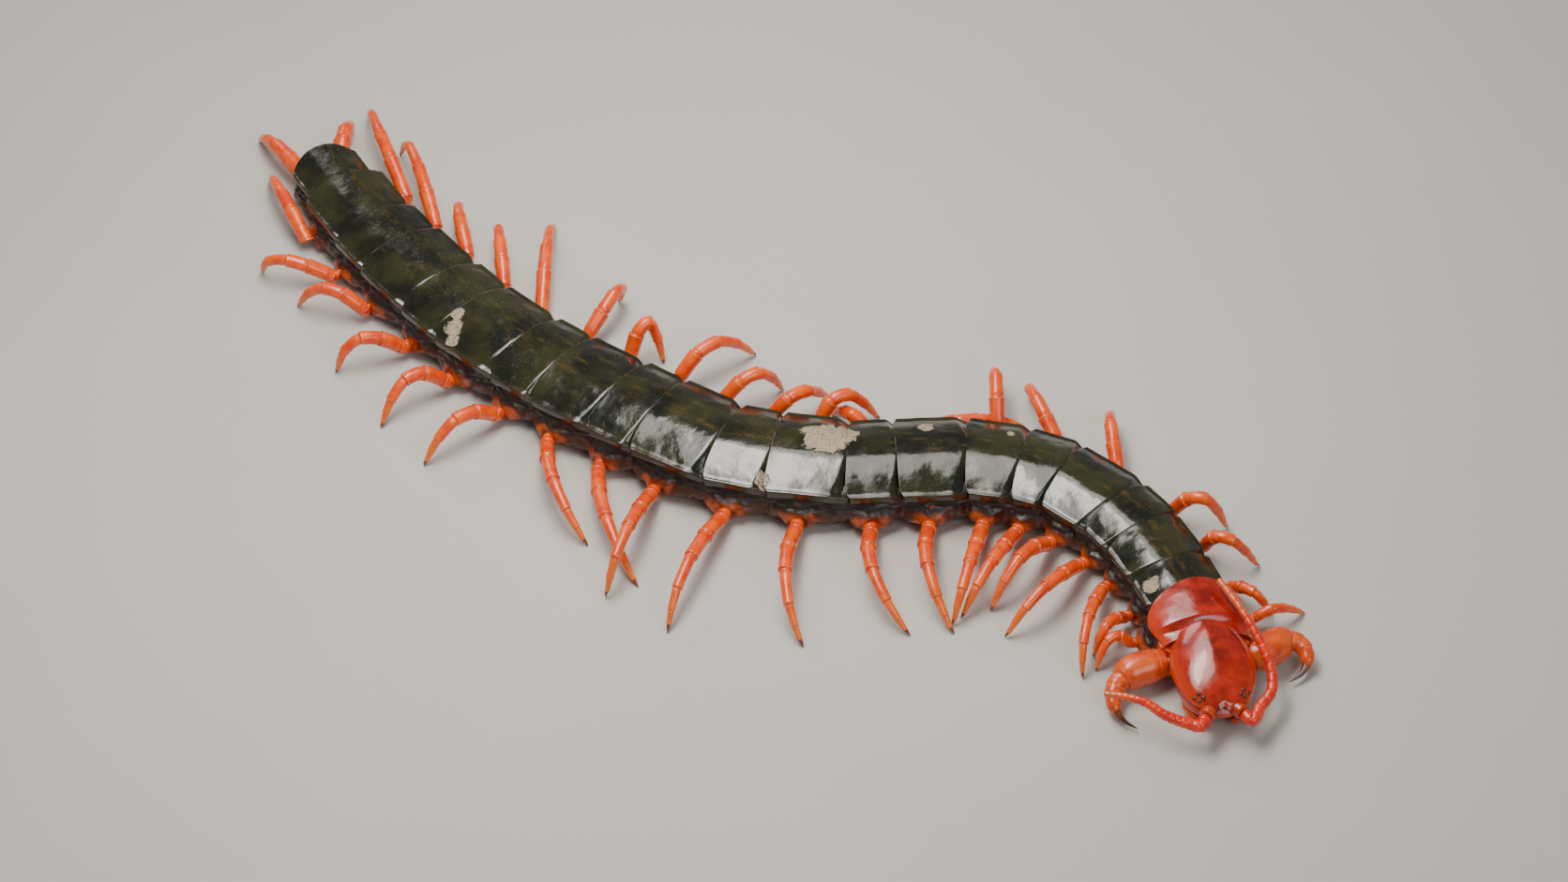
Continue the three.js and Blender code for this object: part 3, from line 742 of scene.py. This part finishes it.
def limb_finish(name, base, glow, tip, pale):
    f = Finish(name, IOR=1.52, Coat_Roughness=0.08, Coat_IOR=1.5, Subsurface_Weight=0.18,
               Subsurface_Radius=(0.0012, 0.0004, 0.00015), Subsurface_Scale=1.0)
    spot, (along, collar) = f.spot(), map(f.mark, LIMB_MARKS)
    cloud = f.grain(spot, 1.8 * MM, 3.0)
    colour = f.mix(cloud.step(0.35, 0.7), base, glow)
    colour = f.mix(along.step(0.6, 1.0) * 0.85, colour, tip)
    broken = f.grain(spot, 0.7 * MM, 2.0).step(0.3, 0.65)
    colour = f.mix(collar.step(0.3, 0.95) * broken * 0.5, colour, pale)
    # Dark seams beside the collars; a breathing hole's slit gets the same colour as painted shade.
    colour = f.mix((0 - collar).step(0.3, 0.9) * 0.7, colour, DARK_SEAM_AND_SLIT_SHADE)
    dirt = f.grain(spot, 0.25 * MM, 3.0, 0.7).step(0.70, 0.78) * cloud.step(0.4, 0.6)
    f.feed("Base Color", f.mix(dirt * 0.6, colour, DIRT))
    f.feed("Roughness", cloud * 0.18 + 0.20 + dirt * 0.3)
    f.feed("Coat Weight", 0.4 - dirt * 0.3)
    f.emboss(f.grain(spot, 0.45 * MM, 3.0, 0.6), 0.035 * MM)
    return f


LEG = limb_finish(
    "leg", base=(0.74, 0.052, 0.0), glow=(0.95, 0.120, 0.0),
    tip=(0.88, 0.19, 0.004), pale=(0.98, 0.30, 0.05),
)
CLAW = limb_finish(
    "claw", base=(0.16, 0.035, 0.008), glow=(0.24, 0.055, 0.010),
    tip=(0.035, 0.014, 0.006), pale=(0.3, 0.1, 0.03),
)
print("finishes made:", LEG.material.name, CLAW.material.name)

# %% [markdown]
# Each tube of the leg is straight, and the arch only bends at the collars, so the middle line is a
# chord between joints with a slight bow. Radii swell towards the far end of every tube and shrink
# to a neck at the joint. The claw is a piece of its own, dark, hooked and sharp.

# %% Legs and claws
PODOMERES = [  # where each tube ends along the leg, radius at its near and far end
    (0.055, 0.98, 0.98), (0.29, 1.00, 1.08), (0.50, 0.96, 0.93), (0.73, 0.80, 0.72), (0.86, 0.61, 0.52),
    (0.945, 0.47, 0.34),
]
TUBE_ROWS = np.array([
    0, 0.015, 0.04, 0.08, 0.14, 0.22, 0.34, 0.48, 0.62, 0.75, 0.85, 0.91, 0.94, 0.96, 0.975, 0.99,
])
LEG_SIDES, CLAW_SIDES = 20, 10
NECK_SHARE, BOW = 0.90, 0.6


def girth(i):
    return LAST_LEG_GIRTH if i == SEGMENTS - 1 else (LEG_GIRTHS + [1.0] * SEGMENTS)[i]


def tube_swell(t):
    """Radius over the length of one tube, as a share: neck, body, flare, collar, neck."""
    body = NECK_SHARE + (1 - NECK_SHARE) * ease(t, 0.0, 0.14)
    waist = 1 - 0.03 * np.sin(math.pi * ease(t, 0.1, 0.9))
    collar = 0.03 * np.exp(-(((t - 0.95) / 0.025) ** 2))
    return body * waist + collar - 0.12 * ease(t, 0.965, 1.0)


def leg(i, side, pose):
    face, direction, line = arch(i, side, pose)
    at = lambda share: np.array([np.interp(share, np.linspace(0, 1, len(line)), c) for c in line.T]).T
    level = unit(np.cross(line[-1] - line[0], line[len(line) // 2] - line[0]))
    centres, radii, alongs, collars = [face + direction * HALF_GAP], [0.98], [0.0], [0.0]
    begin = 0.0
    for end, near, far in PODOMERES:
        root, tip = at(begin), at(end)
        for t in TUBE_ROWS:
            share = begin + (end - begin) * t
            centres.append(root + (tip - root) * t + (at(share) - root - (tip - root) * t) * BOW)
            radii.append((near + (far - near) * t) * tube_swell(t))
            alongs.append(share)
            collars.append(math.exp(-(((t - 0.955) / 0.02) ** 2)) - math.exp(-(((t - 0.99) / 0.012) ** 2)))
        begin = end
    centres = np.array(centres)
    headings = np.gradient(centres, axis=0)
    rings = hoops(centres, headings, np.array(radii) * girth(i), LEG_SIDES, level)
    rings[..., 2] = np.maximum(rings[..., 2], 0.02)
    return closed(marked(rings, np.array(alongs)[:, None], np.array(collars)[:, None]))


def claw(i, side, pose):
    """A hooked claw from the end of the tarsus to the floor."""
    line = arch(i, side, pose)[2]
    root, foot = line[round(0.94 * (len(line) - 1))], line[-1]
    shares = np.linspace(0, 1, 12)
    ahead = unit((foot - root) * (1, 1, 0))
    hook = [root, root + (foot - root) * 0.5 + ahead * 0.16, foot + np.array([0, 0, 0.03])]
    centres = smooth(hook, shares)
    radii = 0.30 * girth(i) * (1 - shares**1.3 * 0.9)
    rings = hoops(centres, np.gradient(centres, axis=0), radii, CLAW_SIDES)
    rings[..., 2] = np.maximum(rings[..., 2], 0.0)
    return closed(marked(rings, shares[:, None], 0.0))


for side, word, poses in ((1, "left", LEFT_POSES), (-1, "right", RIGHT_POSES)):
    for i, pose in enumerate(poses):
        tag = f"{word}_{i + 1:02d}"
        piece(f"leg_shell_{tag}", leg(i, side, pose), LEG, LIMB_MARKS, [f"leg_{tag}"])
        piece(f"claw_{tag}", claw(i, side, pose), CLAW, LIMB_MARKS)
print("tubes in each leg:", len(PODOMERES))

# %% [markdown]
# ## Belly plates and breathing holes
# Under each segment lies a flat, nearly square plate with two fine grooves along it. On nine
# segments the flank has a breathing hole above the leg, a slit with a raised orange lip. A real
# one leads into an air tube. It could be cut into the skin, but a lip of rings, pressed in along its
# middle, keeps the skin closed, and that middle is painted dark as painted shade of the opening.

# %% Belly plates and breathing holes
BELLY_SHARE, BELLY_HEIGHT, BELLY_THICKNESS = 0.68, 0.98, 0.36
HOLE_SEGMENTS = (3, 5, 8, 10, 12, 14, 16, 18, 20)
HOLE_HALF, HOLE_RADIUS, HOLE_SHARE, HOLE_HEIGHT, HOLE_AT = 0.85, 0.36, 0.955, 4.15, 0.42


def sternite(i):
    share = np.linspace(-1, 1, 49)
    bend = np.abs(share)
    along = rows_between(0.97 - 0.05 * bend**4, 0.05 + 0.04 * bend**4, 26)
    taper = 1 - 0.05 * ease(along, 0.3, 0.0) - 0.04 * ease(along, 0.8, 1.0)
    half = BELLY_SHARE * PLATE_WIDTHS[i] / 2 * taper
    top = place(i, along, share * half, BELLY_HEIGHT * stature(i))
    groove = np.exp(-(((bend - 0.45) / 0.03) ** 2)) * ease(along, 0.05, 0.2)
    thickness = BELLY_THICKNESS - 0.10 * groove - 0.14 * bend**6 + 0.03 * rumple(top, 2.0, 71.0)
    return shell(top, thickness * stature(i), 0.1 + 0.1 * bend, 0.0)


def breathing_hole(i, side):
    run = np.linspace(-1, 1, 26)
    along = HOLE_AT + run * HOLE_HALF / PLATE_LENGTHS[i]
    out = side * HOLE_SHARE * PLATE_WIDTHS[i] / 2 * np.ones(26)
    centres = place(i, along, out, HOLE_HEIGHT * stature(i))
    outward = heading(HEADINGS[i] + 90 * side)
    radii = HOLE_RADIUS * np.sqrt(1.02 - run**2)
    rings = hoops(centres, np.gradient(centres, axis=0), radii, 18, outward)
    turn = (np.arange(18) + 0.5) / 18 * 2 * math.pi
    slit = np.exp(-((np.sin(turn) / 0.22) ** 2)) * (np.cos(turn) > 0) * (1 - run[:, None] ** 6)
    rings = rings - outward * (0.16 * slit)[..., None]
    # The slit's middle carries a negative collar mark, which the finish paints dark: painted shade of the
    # opening.
    return closed(marked(rings, 0.5, -slit * 1.4))


BELLY = limb_finish(
    "belly", base=(0.42, 0.050, 0.002), glow=(0.60, 0.110, 0.006),
    tip=(0.66, 0.14, 0.01), pale=(0.80, 0.26, 0.06),
)


for i in range(SEGMENTS):
    piece(f"belly_plate_{i + 1:02d}", sternite(i), BELLY, LIMB_MARKS)
for side, word in ((1, "left"), (-1, "right")):
    lips = [breathing_hole(number - 1, side) for number in HOLE_SEGMENTS]
    piece(f"breathing_holes_{word}", together(lips), BELLY, LIMB_MARKS)
print("breathing holes on each side:", len(HOLE_SEGMENTS))

# %% [markdown]
# ## The head
# The head plate is a red shield, rounder than it is long, with a small notch in front between the
# roots of the antennae. Under it lies the softer capsule with the mouthparts. The plate is bent
# from a grid in the head's own directions, and the capsule is a ring surface.

# %% Head plate and capsule
HEAD_STATIONS = [  # ahead of the neck, half width, crest, underside
    (0.15, 4.3, 6.7, 1.3), (1.5, 4.9, 7.3, 1.1), (4.0, 5.2, 7.5, 1.0), (6.5, 5.15, 7.2, 1.1),
    (8.6, 4.5, 6.4, 1.6), (10.0, 3.2, 5.6, 2.3), (10.9, 1.5, 4.9, 3.0),
]
HEAD_MARGIN = 4.35
UNDER_PLATE = 1.25  # how far the capsule's top lies below the plate's crest
HEAD_PLATE = [  # ahead of the neck, half width, crest; it reaches back over the first back plate
    (-2.3, 4.1, 7.55), (-0.6, 4.6, 7.75), (1.5, 5.15, 7.75), (4.0, 5.35, 7.6), (6.2, 5.05, 7.2),
    (8.2, 4.25, 6.5), (9.6, 3.2, 5.8), (10.5, 2.1, 5.3), (11.0, 1.5, 4.95),
]


def head_place(ahead, left, height):
    """Places in the head's directions: ahead of the neck, to the left, up."""
    ahead, left = np.asarray(ahead)[..., None], np.asarray(left)[..., None]
    spots = JOINTS[0] + heading(HEAD_HEADING) * ahead + heading(HEAD_HEADING + 90) * left
    spots[..., 2] = height
    return spots


def head_height(ahead, share):
    """Height of the head plate's upper face at a share of its half width."""
    stations = np.array(HEAD_PLATE)
    crest = np.interp(ahead, *smooth(stations[:, [0, 2]], np.linspace(0, 1, 80)).T)
    margin = np.minimum(HEAD_MARGIN, crest - 0.6)
    return margin + (crest - margin) * soft_roof(np.abs(share))


def head_half(ahead):
    return np.interp(ahead, *smooth(np.array(HEAD_PLATE)[:, [0, 1]], np.linspace(0, 1, 80)).T)


def head_plate():
    share = np.sin(np.linspace(-1, 1, 91) * math.pi / 2)
    bend = np.abs(share)
    rear = -0.2 - 2.1 * dome(bend, 2.3, 2.0)
    front = 11.0 - 0.35 * np.exp(-((share / 0.22) ** 2)) - 0.5 * bend**4
    ahead = rows_between(rear, front, 72)
    rim = ease(rear + 0.7 - ahead, 0, 0.7)
    height = head_height(ahead, share) - 0.35 * rim - 0.25 * ease(ahead - front + 0.6, 0, 0.6)
    top = head_place(ahead, share * head_half(ahead), height)
    top[..., 2] += 0.03 * rumple(top, 2.2, 41.0)
    return shell(top, SHELL * 1.2, share)


def capsule():
    """The soft head under the plate; the antenna sockets are made by socket()."""
    angle = np.arange(40) / 40 * 2 * math.pi
    square = lambda value: np.sign(value) * np.abs(value) ** 0.8
    stations = smooth(HEAD_STATIONS, np.linspace(0, 1, 40))
    rings = []
    for ahead, half, crest, under in stations:
        high = (crest - UNDER_PLATE + under) / 2 + (crest - UNDER_PLATE - under) / 2 * square(np.sin(angle))
        rings.append(head_place(ahead - 0.1, (half - 0.4) * square(np.cos(angle)), high))
    rings = np.array(rings)
    return rings + 0.05 * unit(rings - rings.mean(1, keepdims=True)) * rumple(rings, 0.8, 5.0)[..., None]


ANTENNA_SOCKET, ANTENNA_ROOT = (11.1, 2.3, 4.0), (9.2, 0.9, 4.2)
ANTENNA_RADII = (0.85, 0.4)


def mirrored(spot, side):
    ahead, left, height = spot
    return head_place(ahead, left * side, height)


def socket(side):
    """The raised collar that an antenna grows from."""
    root, face = mirrored(ANTENNA_ROOT, side), mirrored(ANTENNA_SOCKET, side)
    shares = np.linspace(0, 1, 14)
    centres = root + (face - root) * shares[:, None]
    radii = 0.95 + 0.12 * ease(shares, 0.5, 0.9) - 0.3 * ease(shares, 0.93, 1.0)
    return hoops(centres, np.tile(face - root, (14, 1)), radii, 20)


CAPSULE = limb_finish(
    "capsule", base=(0.42, 0.025, 0.003), glow=(0.60, 0.06, 0.004),
    tip=(0.75, 0.12, 0.01), pale=(0.9, 0.4, 0.2),
)
piece("head_plate", head_plate(), RED_PLATE, ("across",))
parts = [closed(marked(rings, 0.0, 0.0)) for rings in (capsule(), socket(1), socket(-1))]
piece("head_capsule", together(parts), CAPSULE, LIMB_MARKS, ["head"])
print("head length in mm:", HEAD_STATIONS[-1][0])

# %% [markdown]
# Four simple eyes stand on each side of the head, small black lenses in a loose diamond close
# behind the antenna. Each is a dome sunk into the plate.

# %% Eyes
OCELLI = [(9.2, 2.35, 0.32), (8.6, 2.85, 0.30), (9.4, 2.85, 0.27), (8.85, 3.4, 0.28)]  # ahead, out, radius


def lens_dome(centre, radius):
    """A small ball of rings, flattened a little."""
    tilt = np.linspace(0.06, math.pi - 0.06, 12)
    turn = (np.arange(16) + 0.5) / 16 * 2 * math.pi
    ring = np.stack([np.outer(np.sin(tilt), np.cos(turn)), np.outer(np.sin(tilt), np.sin(turn)),
                     np.outer(np.cos(tilt), np.ones(16)) * 0.8], -1)
    return centre + ring * radius


def eye_finish():
    f = Finish("eye", IOR=1.5, Coat_Roughness=0.03, Coat_IOR=1.5, Coat_Weight=0.6)
    tone = f.grain(f.spot(), 0.2 * MM, 2.0)
    f.feed("Base Color", f.mix(tone, (0.004, 0.003, 0.003), (0.03, 0.012, 0.008)))
    f.feed("Roughness", tone * 0.1 + 0.05)
    return f


EYE = eye_finish()
for side, word in ((1, "left"), (-1, "right")):
    lenses = []
    for ahead, out, radius in OCELLI:
        centre = head_place(ahead, side * out, head_height(ahead, out / head_half(ahead)) - 0.1)
        lenses.append(closed(lens_dome(centre, radius)))
    piece(f"eyes_{word}", together(lenses), EYE)
print("simple eyes on each side:", len(OCELLI))

# %% [markdown]
# ## Antennae
# An antenna is a string of articles, each a short cup that the next one stands in. On the animal the
# first few are bare and shine like the head and the rest carry a fine velvet that dulls them; here one
# finish covers them all, without the velvet. It is a tube over a smooth curve whose radius rises and
# falls once per article.

# %% Antennae
ROOT_LEAD = 1.6
ANTENNA_ARTICLES, ANTENNA_SIDES = 18, 16
RIGHT_ANTENNA_WAY = [
    (11.7, -4.6, 3.7), (10.4, -7.4, 4.3), (8.6, -9.6, 5.0), (7.0, -12.2, 4.8), (6.0, -14.2, 4.4),
]
LEFT_ANTENNA_WAY = [
    (10.4, 4.7, 3.9), (8.2, 6.6, 4.2), (5.4, 7.1, 5.0), (2.6, 6.5, 6.3), (-2.2, 4.9, 7.7), (-7.2, 2.8, 8.6),
]


def limb_line(root, face, side, way, shares):
    """Centres and directions of a limb of the head, from its root's face along a smooth way."""
    root, face = mirrored(root, side), mirrored(face, side)
    lead = unit(face - root)
    line = [face + lead * HALF_GAP, face + lead * ROOT_LEAD] + [head_place(*spot) for spot in way]
    centres = smooth(line, shares)
    return centres, np.gradient(centres, shares, axis=0)


def antenna(side, way):
    rows = np.array([0, 0.04, 0.12, 0.3, 0.55, 0.8, 0.92, 0.97])
    shares = np.append(((np.arange(ANTENNA_ARTICLES)[:, None] + rows) / ANTENNA_ARTICLES).ravel(), 1.0)
    within = np.append(np.tile(rows, ANTENNA_ARTICLES), 0.99)
    thick, thin = ANTENNA_RADII
    cup = 0.86 + 0.14 * ease(within, 0, 0.2) + 0.05 * ease(within, 0.4, 0.9) - 0.16 * ease(within, 0.93, 1)
    centres, directions = limb_line(ANTENNA_ROOT, ANTENNA_SOCKET, side, way, shares)
    rings = hoops(centres, directions, (thick + (thin - thick) * shares) * cup, ANTENNA_SIDES)
    collar = np.exp(-(((within - 0.93) / 0.06) ** 2))
    return closed(marked(rings, shares[:, None], collar[:, None] * 0.6))


ANTENNA = limb_finish(
    "antenna", base=(0.64, 0.016, 0.0), glow=(0.82, 0.040, 0.0),
    tip=(0.72, 0.14, 0.02), pale=(0.85, 0.20, 0.06),
)
piece("feeler_left", antenna(1, LEFT_ANTENNA_WAY), ANTENNA, LIMB_MARKS, ["antenna_left"])
piece("feeler_right", antenna(-1, RIGHT_ANTENNA_WAY), ANTENNA, LIMB_MARKS, ["antenna_right"])
print("articles in each antenna:", ANTENNA_ARTICLES)

# %% [markdown]
# ## Venom claws
# The pair beside the head aren't jaws but the legs of the segment before the first: one great
# swollen piece, two short rings and a curved fang with a dark point. Pale seams part them. The fang's
# point is a separate piece, since it is a claw.

# %% Venom claws
VENOM_FACE, VENOM_ROOT = (0.7, 5.3, 2.8), (0.4, 3.0, 2.7)
RIGHT_FORCIPULE_WAY = [
    (1.7, -9.9, 2.8), (3.3, -12.2, 2.5), (5.6, -12.9, 1.9), (7.8, -12.1, 1.2), (9.3, -10.5, 0.9),
]
LEFT_FORCIPULE_WAY = [
    (-0.9, 10.6, 2.8), (-0.3, 12.3, 2.5), (1.6, 12.9, 1.9), (3.4, 11.8, 1.2), (4.4, 10.0, 0.9),
]
FORCIPULE_STATIONS = [
    (0, 1.75), (0.05, 1.95), (0.15, 2.25), (0.30, 2.22), (0.41, 1.70), (0.455, 1.30), (0.50, 1.3),
    (0.545, 1.14), (0.59, 1.18), (0.62, 1.0), (0.70, 0.92), (0.76, 0.6),
]
SEAMS = (0.08, 0.467, 0.547, 0.618)
FANG_FROM = 0.74


def forcipule(side, way):
    shares = np.linspace(0, 0.76, 130)
    radii = np.interp(shares, *smooth(FORCIPULE_STATIONS, np.linspace(0, 1, 200)).T)
    seam = sum(np.exp(-(((shares - at + 0.008) / 0.007) ** 2)) for at in SEAMS)
    centres, directions = limb_line(VENOM_ROOT, VENOM_FACE, side, way, shares)
    rings = hoops(centres, directions, radii, 28)
    return closed(marked(rings, shares[:, None] * 0.8, seam[:, None]))


def fang(side, way):
    shares = np.linspace(FANG_FROM, 1.0, 20)
    radii = 0.62 * (1 - ((shares - FANG_FROM) / (1 - FANG_FROM)) ** 0.8 * 0.9)
    centres, directions = limb_line(VENOM_ROOT, VENOM_FACE, side, way, shares)
    return closed(marked(hoops(centres, directions, radii, 16), (shares[:, None] - FANG_FROM) * 6 + 0.3, 0.0))


def coxosternite():
    """The broad plate under the head that both venom claws stand on, with two toothed lobes."""
    left = np.linspace(-1, 1, 61)
    reach = np.sqrt(1 - np.abs(left) ** 3 * 0.62)
    centres = head_place(0.2 + 0.6 * np.abs(left) ** 2, left * 6.1, 2.65 * np.ones(61))
    across = np.tile(heading(HEAD_HEADING + 90), (61, 1))
    rings = hoops(centres, across, 2.25 * reach, 28, squash=0.74)
    bulge = rumple(rings, 1.6, 61.0)[..., None] * 0.08
    seam = np.exp(-((left / 0.02) ** 2))
    lobes = []
    for side in (1, -1):
        run = np.linspace(0, 1, 12)
        tips = head_place(2.2 + 2.0 * run, side * (1.0 - 0.25 * run), 1.7 - 0.2 * run)
        lobe = hoops(tips, np.gradient(tips, axis=0), 0.85 - 0.35 * run**2, 16, squash=0.6)
        lobes.append(closed(marked(lobe, 0.4, 0.0)))
    whole = rings + bulge * unit(rings - centres[:, None])
    return together([closed(marked(whole, 0.2, seam[:, None] * 0.8)), *lobes])


FORCIPULE = limb_finish(
    "forcipule", base=(0.62, 0.052, 0.001), glow=(0.80, 0.115, 0.003),
    tip=(0.60, 0.08, 0.004), pale=(0.95, 0.42, 0.15),
)
for side, word, way in ((1, "left", LEFT_FORCIPULE_WAY), (-1, "right", RIGHT_FORCIPULE_WAY)):
    made = forcipule(side, way)
    piece(f"venom_claw_{word}", made, FORCIPULE, LIMB_MARKS, [f"forcipule_{word}"])
    piece(f"fang_{word}", fang(side, way), CLAW, LIMB_MARKS)
piece("venom_claw_base", coxosternite(), FORCIPULE, LIMB_MARKS)
print("seams on each venom claw:", len(SEAMS))

# %% [markdown]
# Under the front of the head a pair of palps, short jointed fingers, holds the food. They are bent
# towards each other, and behind them the lower lip closes the mouth.

# %% Palps and lower lip
PALP_WAY = [(5.2, 3.3, 1.5), (7.2, 3.5, 1.15), (9.0, 2.7, 1.1), (10.1, 1.3, 1.2)]
PALP_STATIONS = [
    (0, 0.62), (0.1, 0.78), (0.32, 0.76), (0.36, 0.62), (0.4, 0.72), (0.66, 0.66), (0.7, 0.52), (0.74, 0.6),
    (0.93, 0.44), (1.0, 0.12),
]
PALP_SEAMS = (0.36, 0.70)


def palp(side):
    shares = np.linspace(0, 1, 70)
    centres = smooth([mirrored(spot, side) for spot in PALP_WAY], shares)
    radii = np.interp(shares, *smooth(PALP_STATIONS, np.linspace(0, 1, 120)).T)
    seam = sum(np.exp(-(((shares - at) / 0.015) ** 2)) for at in PALP_SEAMS)
    rings = hoops(centres, np.gradient(centres, axis=0), radii, 20)
    return closed(marked(rings, shares[:, None] * 0.6, seam[:, None]))


def lower_lip():
    run = np.linspace(0, 1, 24)
    centres = head_place(5.0 + 3.6 * run, np.zeros(24), 1.75 + 0.5 * run)
    rings = hoops(centres, np.gradient(centres, axis=0), 2.1 * np.sqrt(1.02 - run**2.5), 28, squash=0.42)
    return closed(marked(rings, 0.2, np.exp(-(((run[:, None] - 0.5) / 0.04) ** 2)) * 0.6))


for side, word in ((1, "left"), (-1, "right")):
    piece(f"palp_{word}", palp(side), FORCIPULE, LIMB_MARKS)
piece("lower_lip", lower_lip(), CAPSULE, LIMB_MARKS)
print("joints of each palp:", len(PALP_SEAMS))

# %% [markdown]
# ## Floor and light
# The animal lies on a plain pale floor. Polished black shows little but what it mirrors, so the
# lights make most of the look. A warm softbox close above the middle gives the broad silvery
# reflection on the near sides of the plates and leaves the tail darker. A smaller one inside it
# brightens its middle, since one even light would mirror as a flat grey patch. Two weak lights
# further off shape the legs, and an even sky fills the shadows.

# %% Floor, softbox and sky
FLOOR_REACH = 3.0


def pale_floor():
    f = Finish("floor", Roughness=0.75)
    tone = f.grain(f.spot(), 40 * MM, 3.0)
    f.feed("Base Color", f.mix(tone, (0.50, 0.49, 0.47), (0.54, 0.53, 0.51)))
    mesh = bpy.data.meshes.new("floor")
    reach = FLOOR_REACH
    corners = [(-reach, -reach, 0), (reach, -reach, 0), (reach, reach, 0), (-reach, reach, 0)]
    mesh.from_pydata(corners, [], [(0, 1, 2, 3)])
    mesh.materials.append(f.material)
    floor = bpy.data.objects.new("floor", mesh)
    bpy.context.scene.collection.objects.link(floor)


def softbox(name, spot, aim, width, height, power, colour=(1.0, 1.0, 1.0)):
    light = bpy.data.lights.new(name, "AREA")
    light.shape, light.size, light.size_y, light.energy = "ELLIPSE", width, height, power
    light.color = colour
    holder = bpy.data.objects.new(name, light)
    spot, aim = Vector(spot), Vector(aim)
    holder.matrix_world = Matrix.Translation(spot) @ (spot - aim).to_track_quat("Z", "Y").to_matrix().to_4x4()
    bpy.context.scene.collection.objects.link(holder)


WARM = (1.0, 0.965, 0.89)
pale_floor()
softbox("key", (-0.022, 0.012, 0.21), (0.0, 0.0, 0.0), 0.24, 0.13, 0.42, WARM)
softbox("core", (-0.028, 0.004, 0.205), (0.0, 0.0, 0.0), 0.15, 0.05, 0.22, WARM)
softbox("fill", (0.5, -0.7, 0.7), (0.0, 0.0, 0.0), 0.6, 0.6, 3.0)
softbox("rim", (-0.4, 0.8, 0.6), (0.0, 0.0, 0.0), 0.5, 0.3, 1.6)
world = bpy.data.worlds.new("sky")
bpy.context.scene.world = world
world.use_nodes = True
world.node_tree.nodes["Background"].inputs["Color"].default_value = (1.0, 0.98, 0.94, 1)
world.node_tree.nodes["Background"].inputs["Strength"].default_value = 0.23
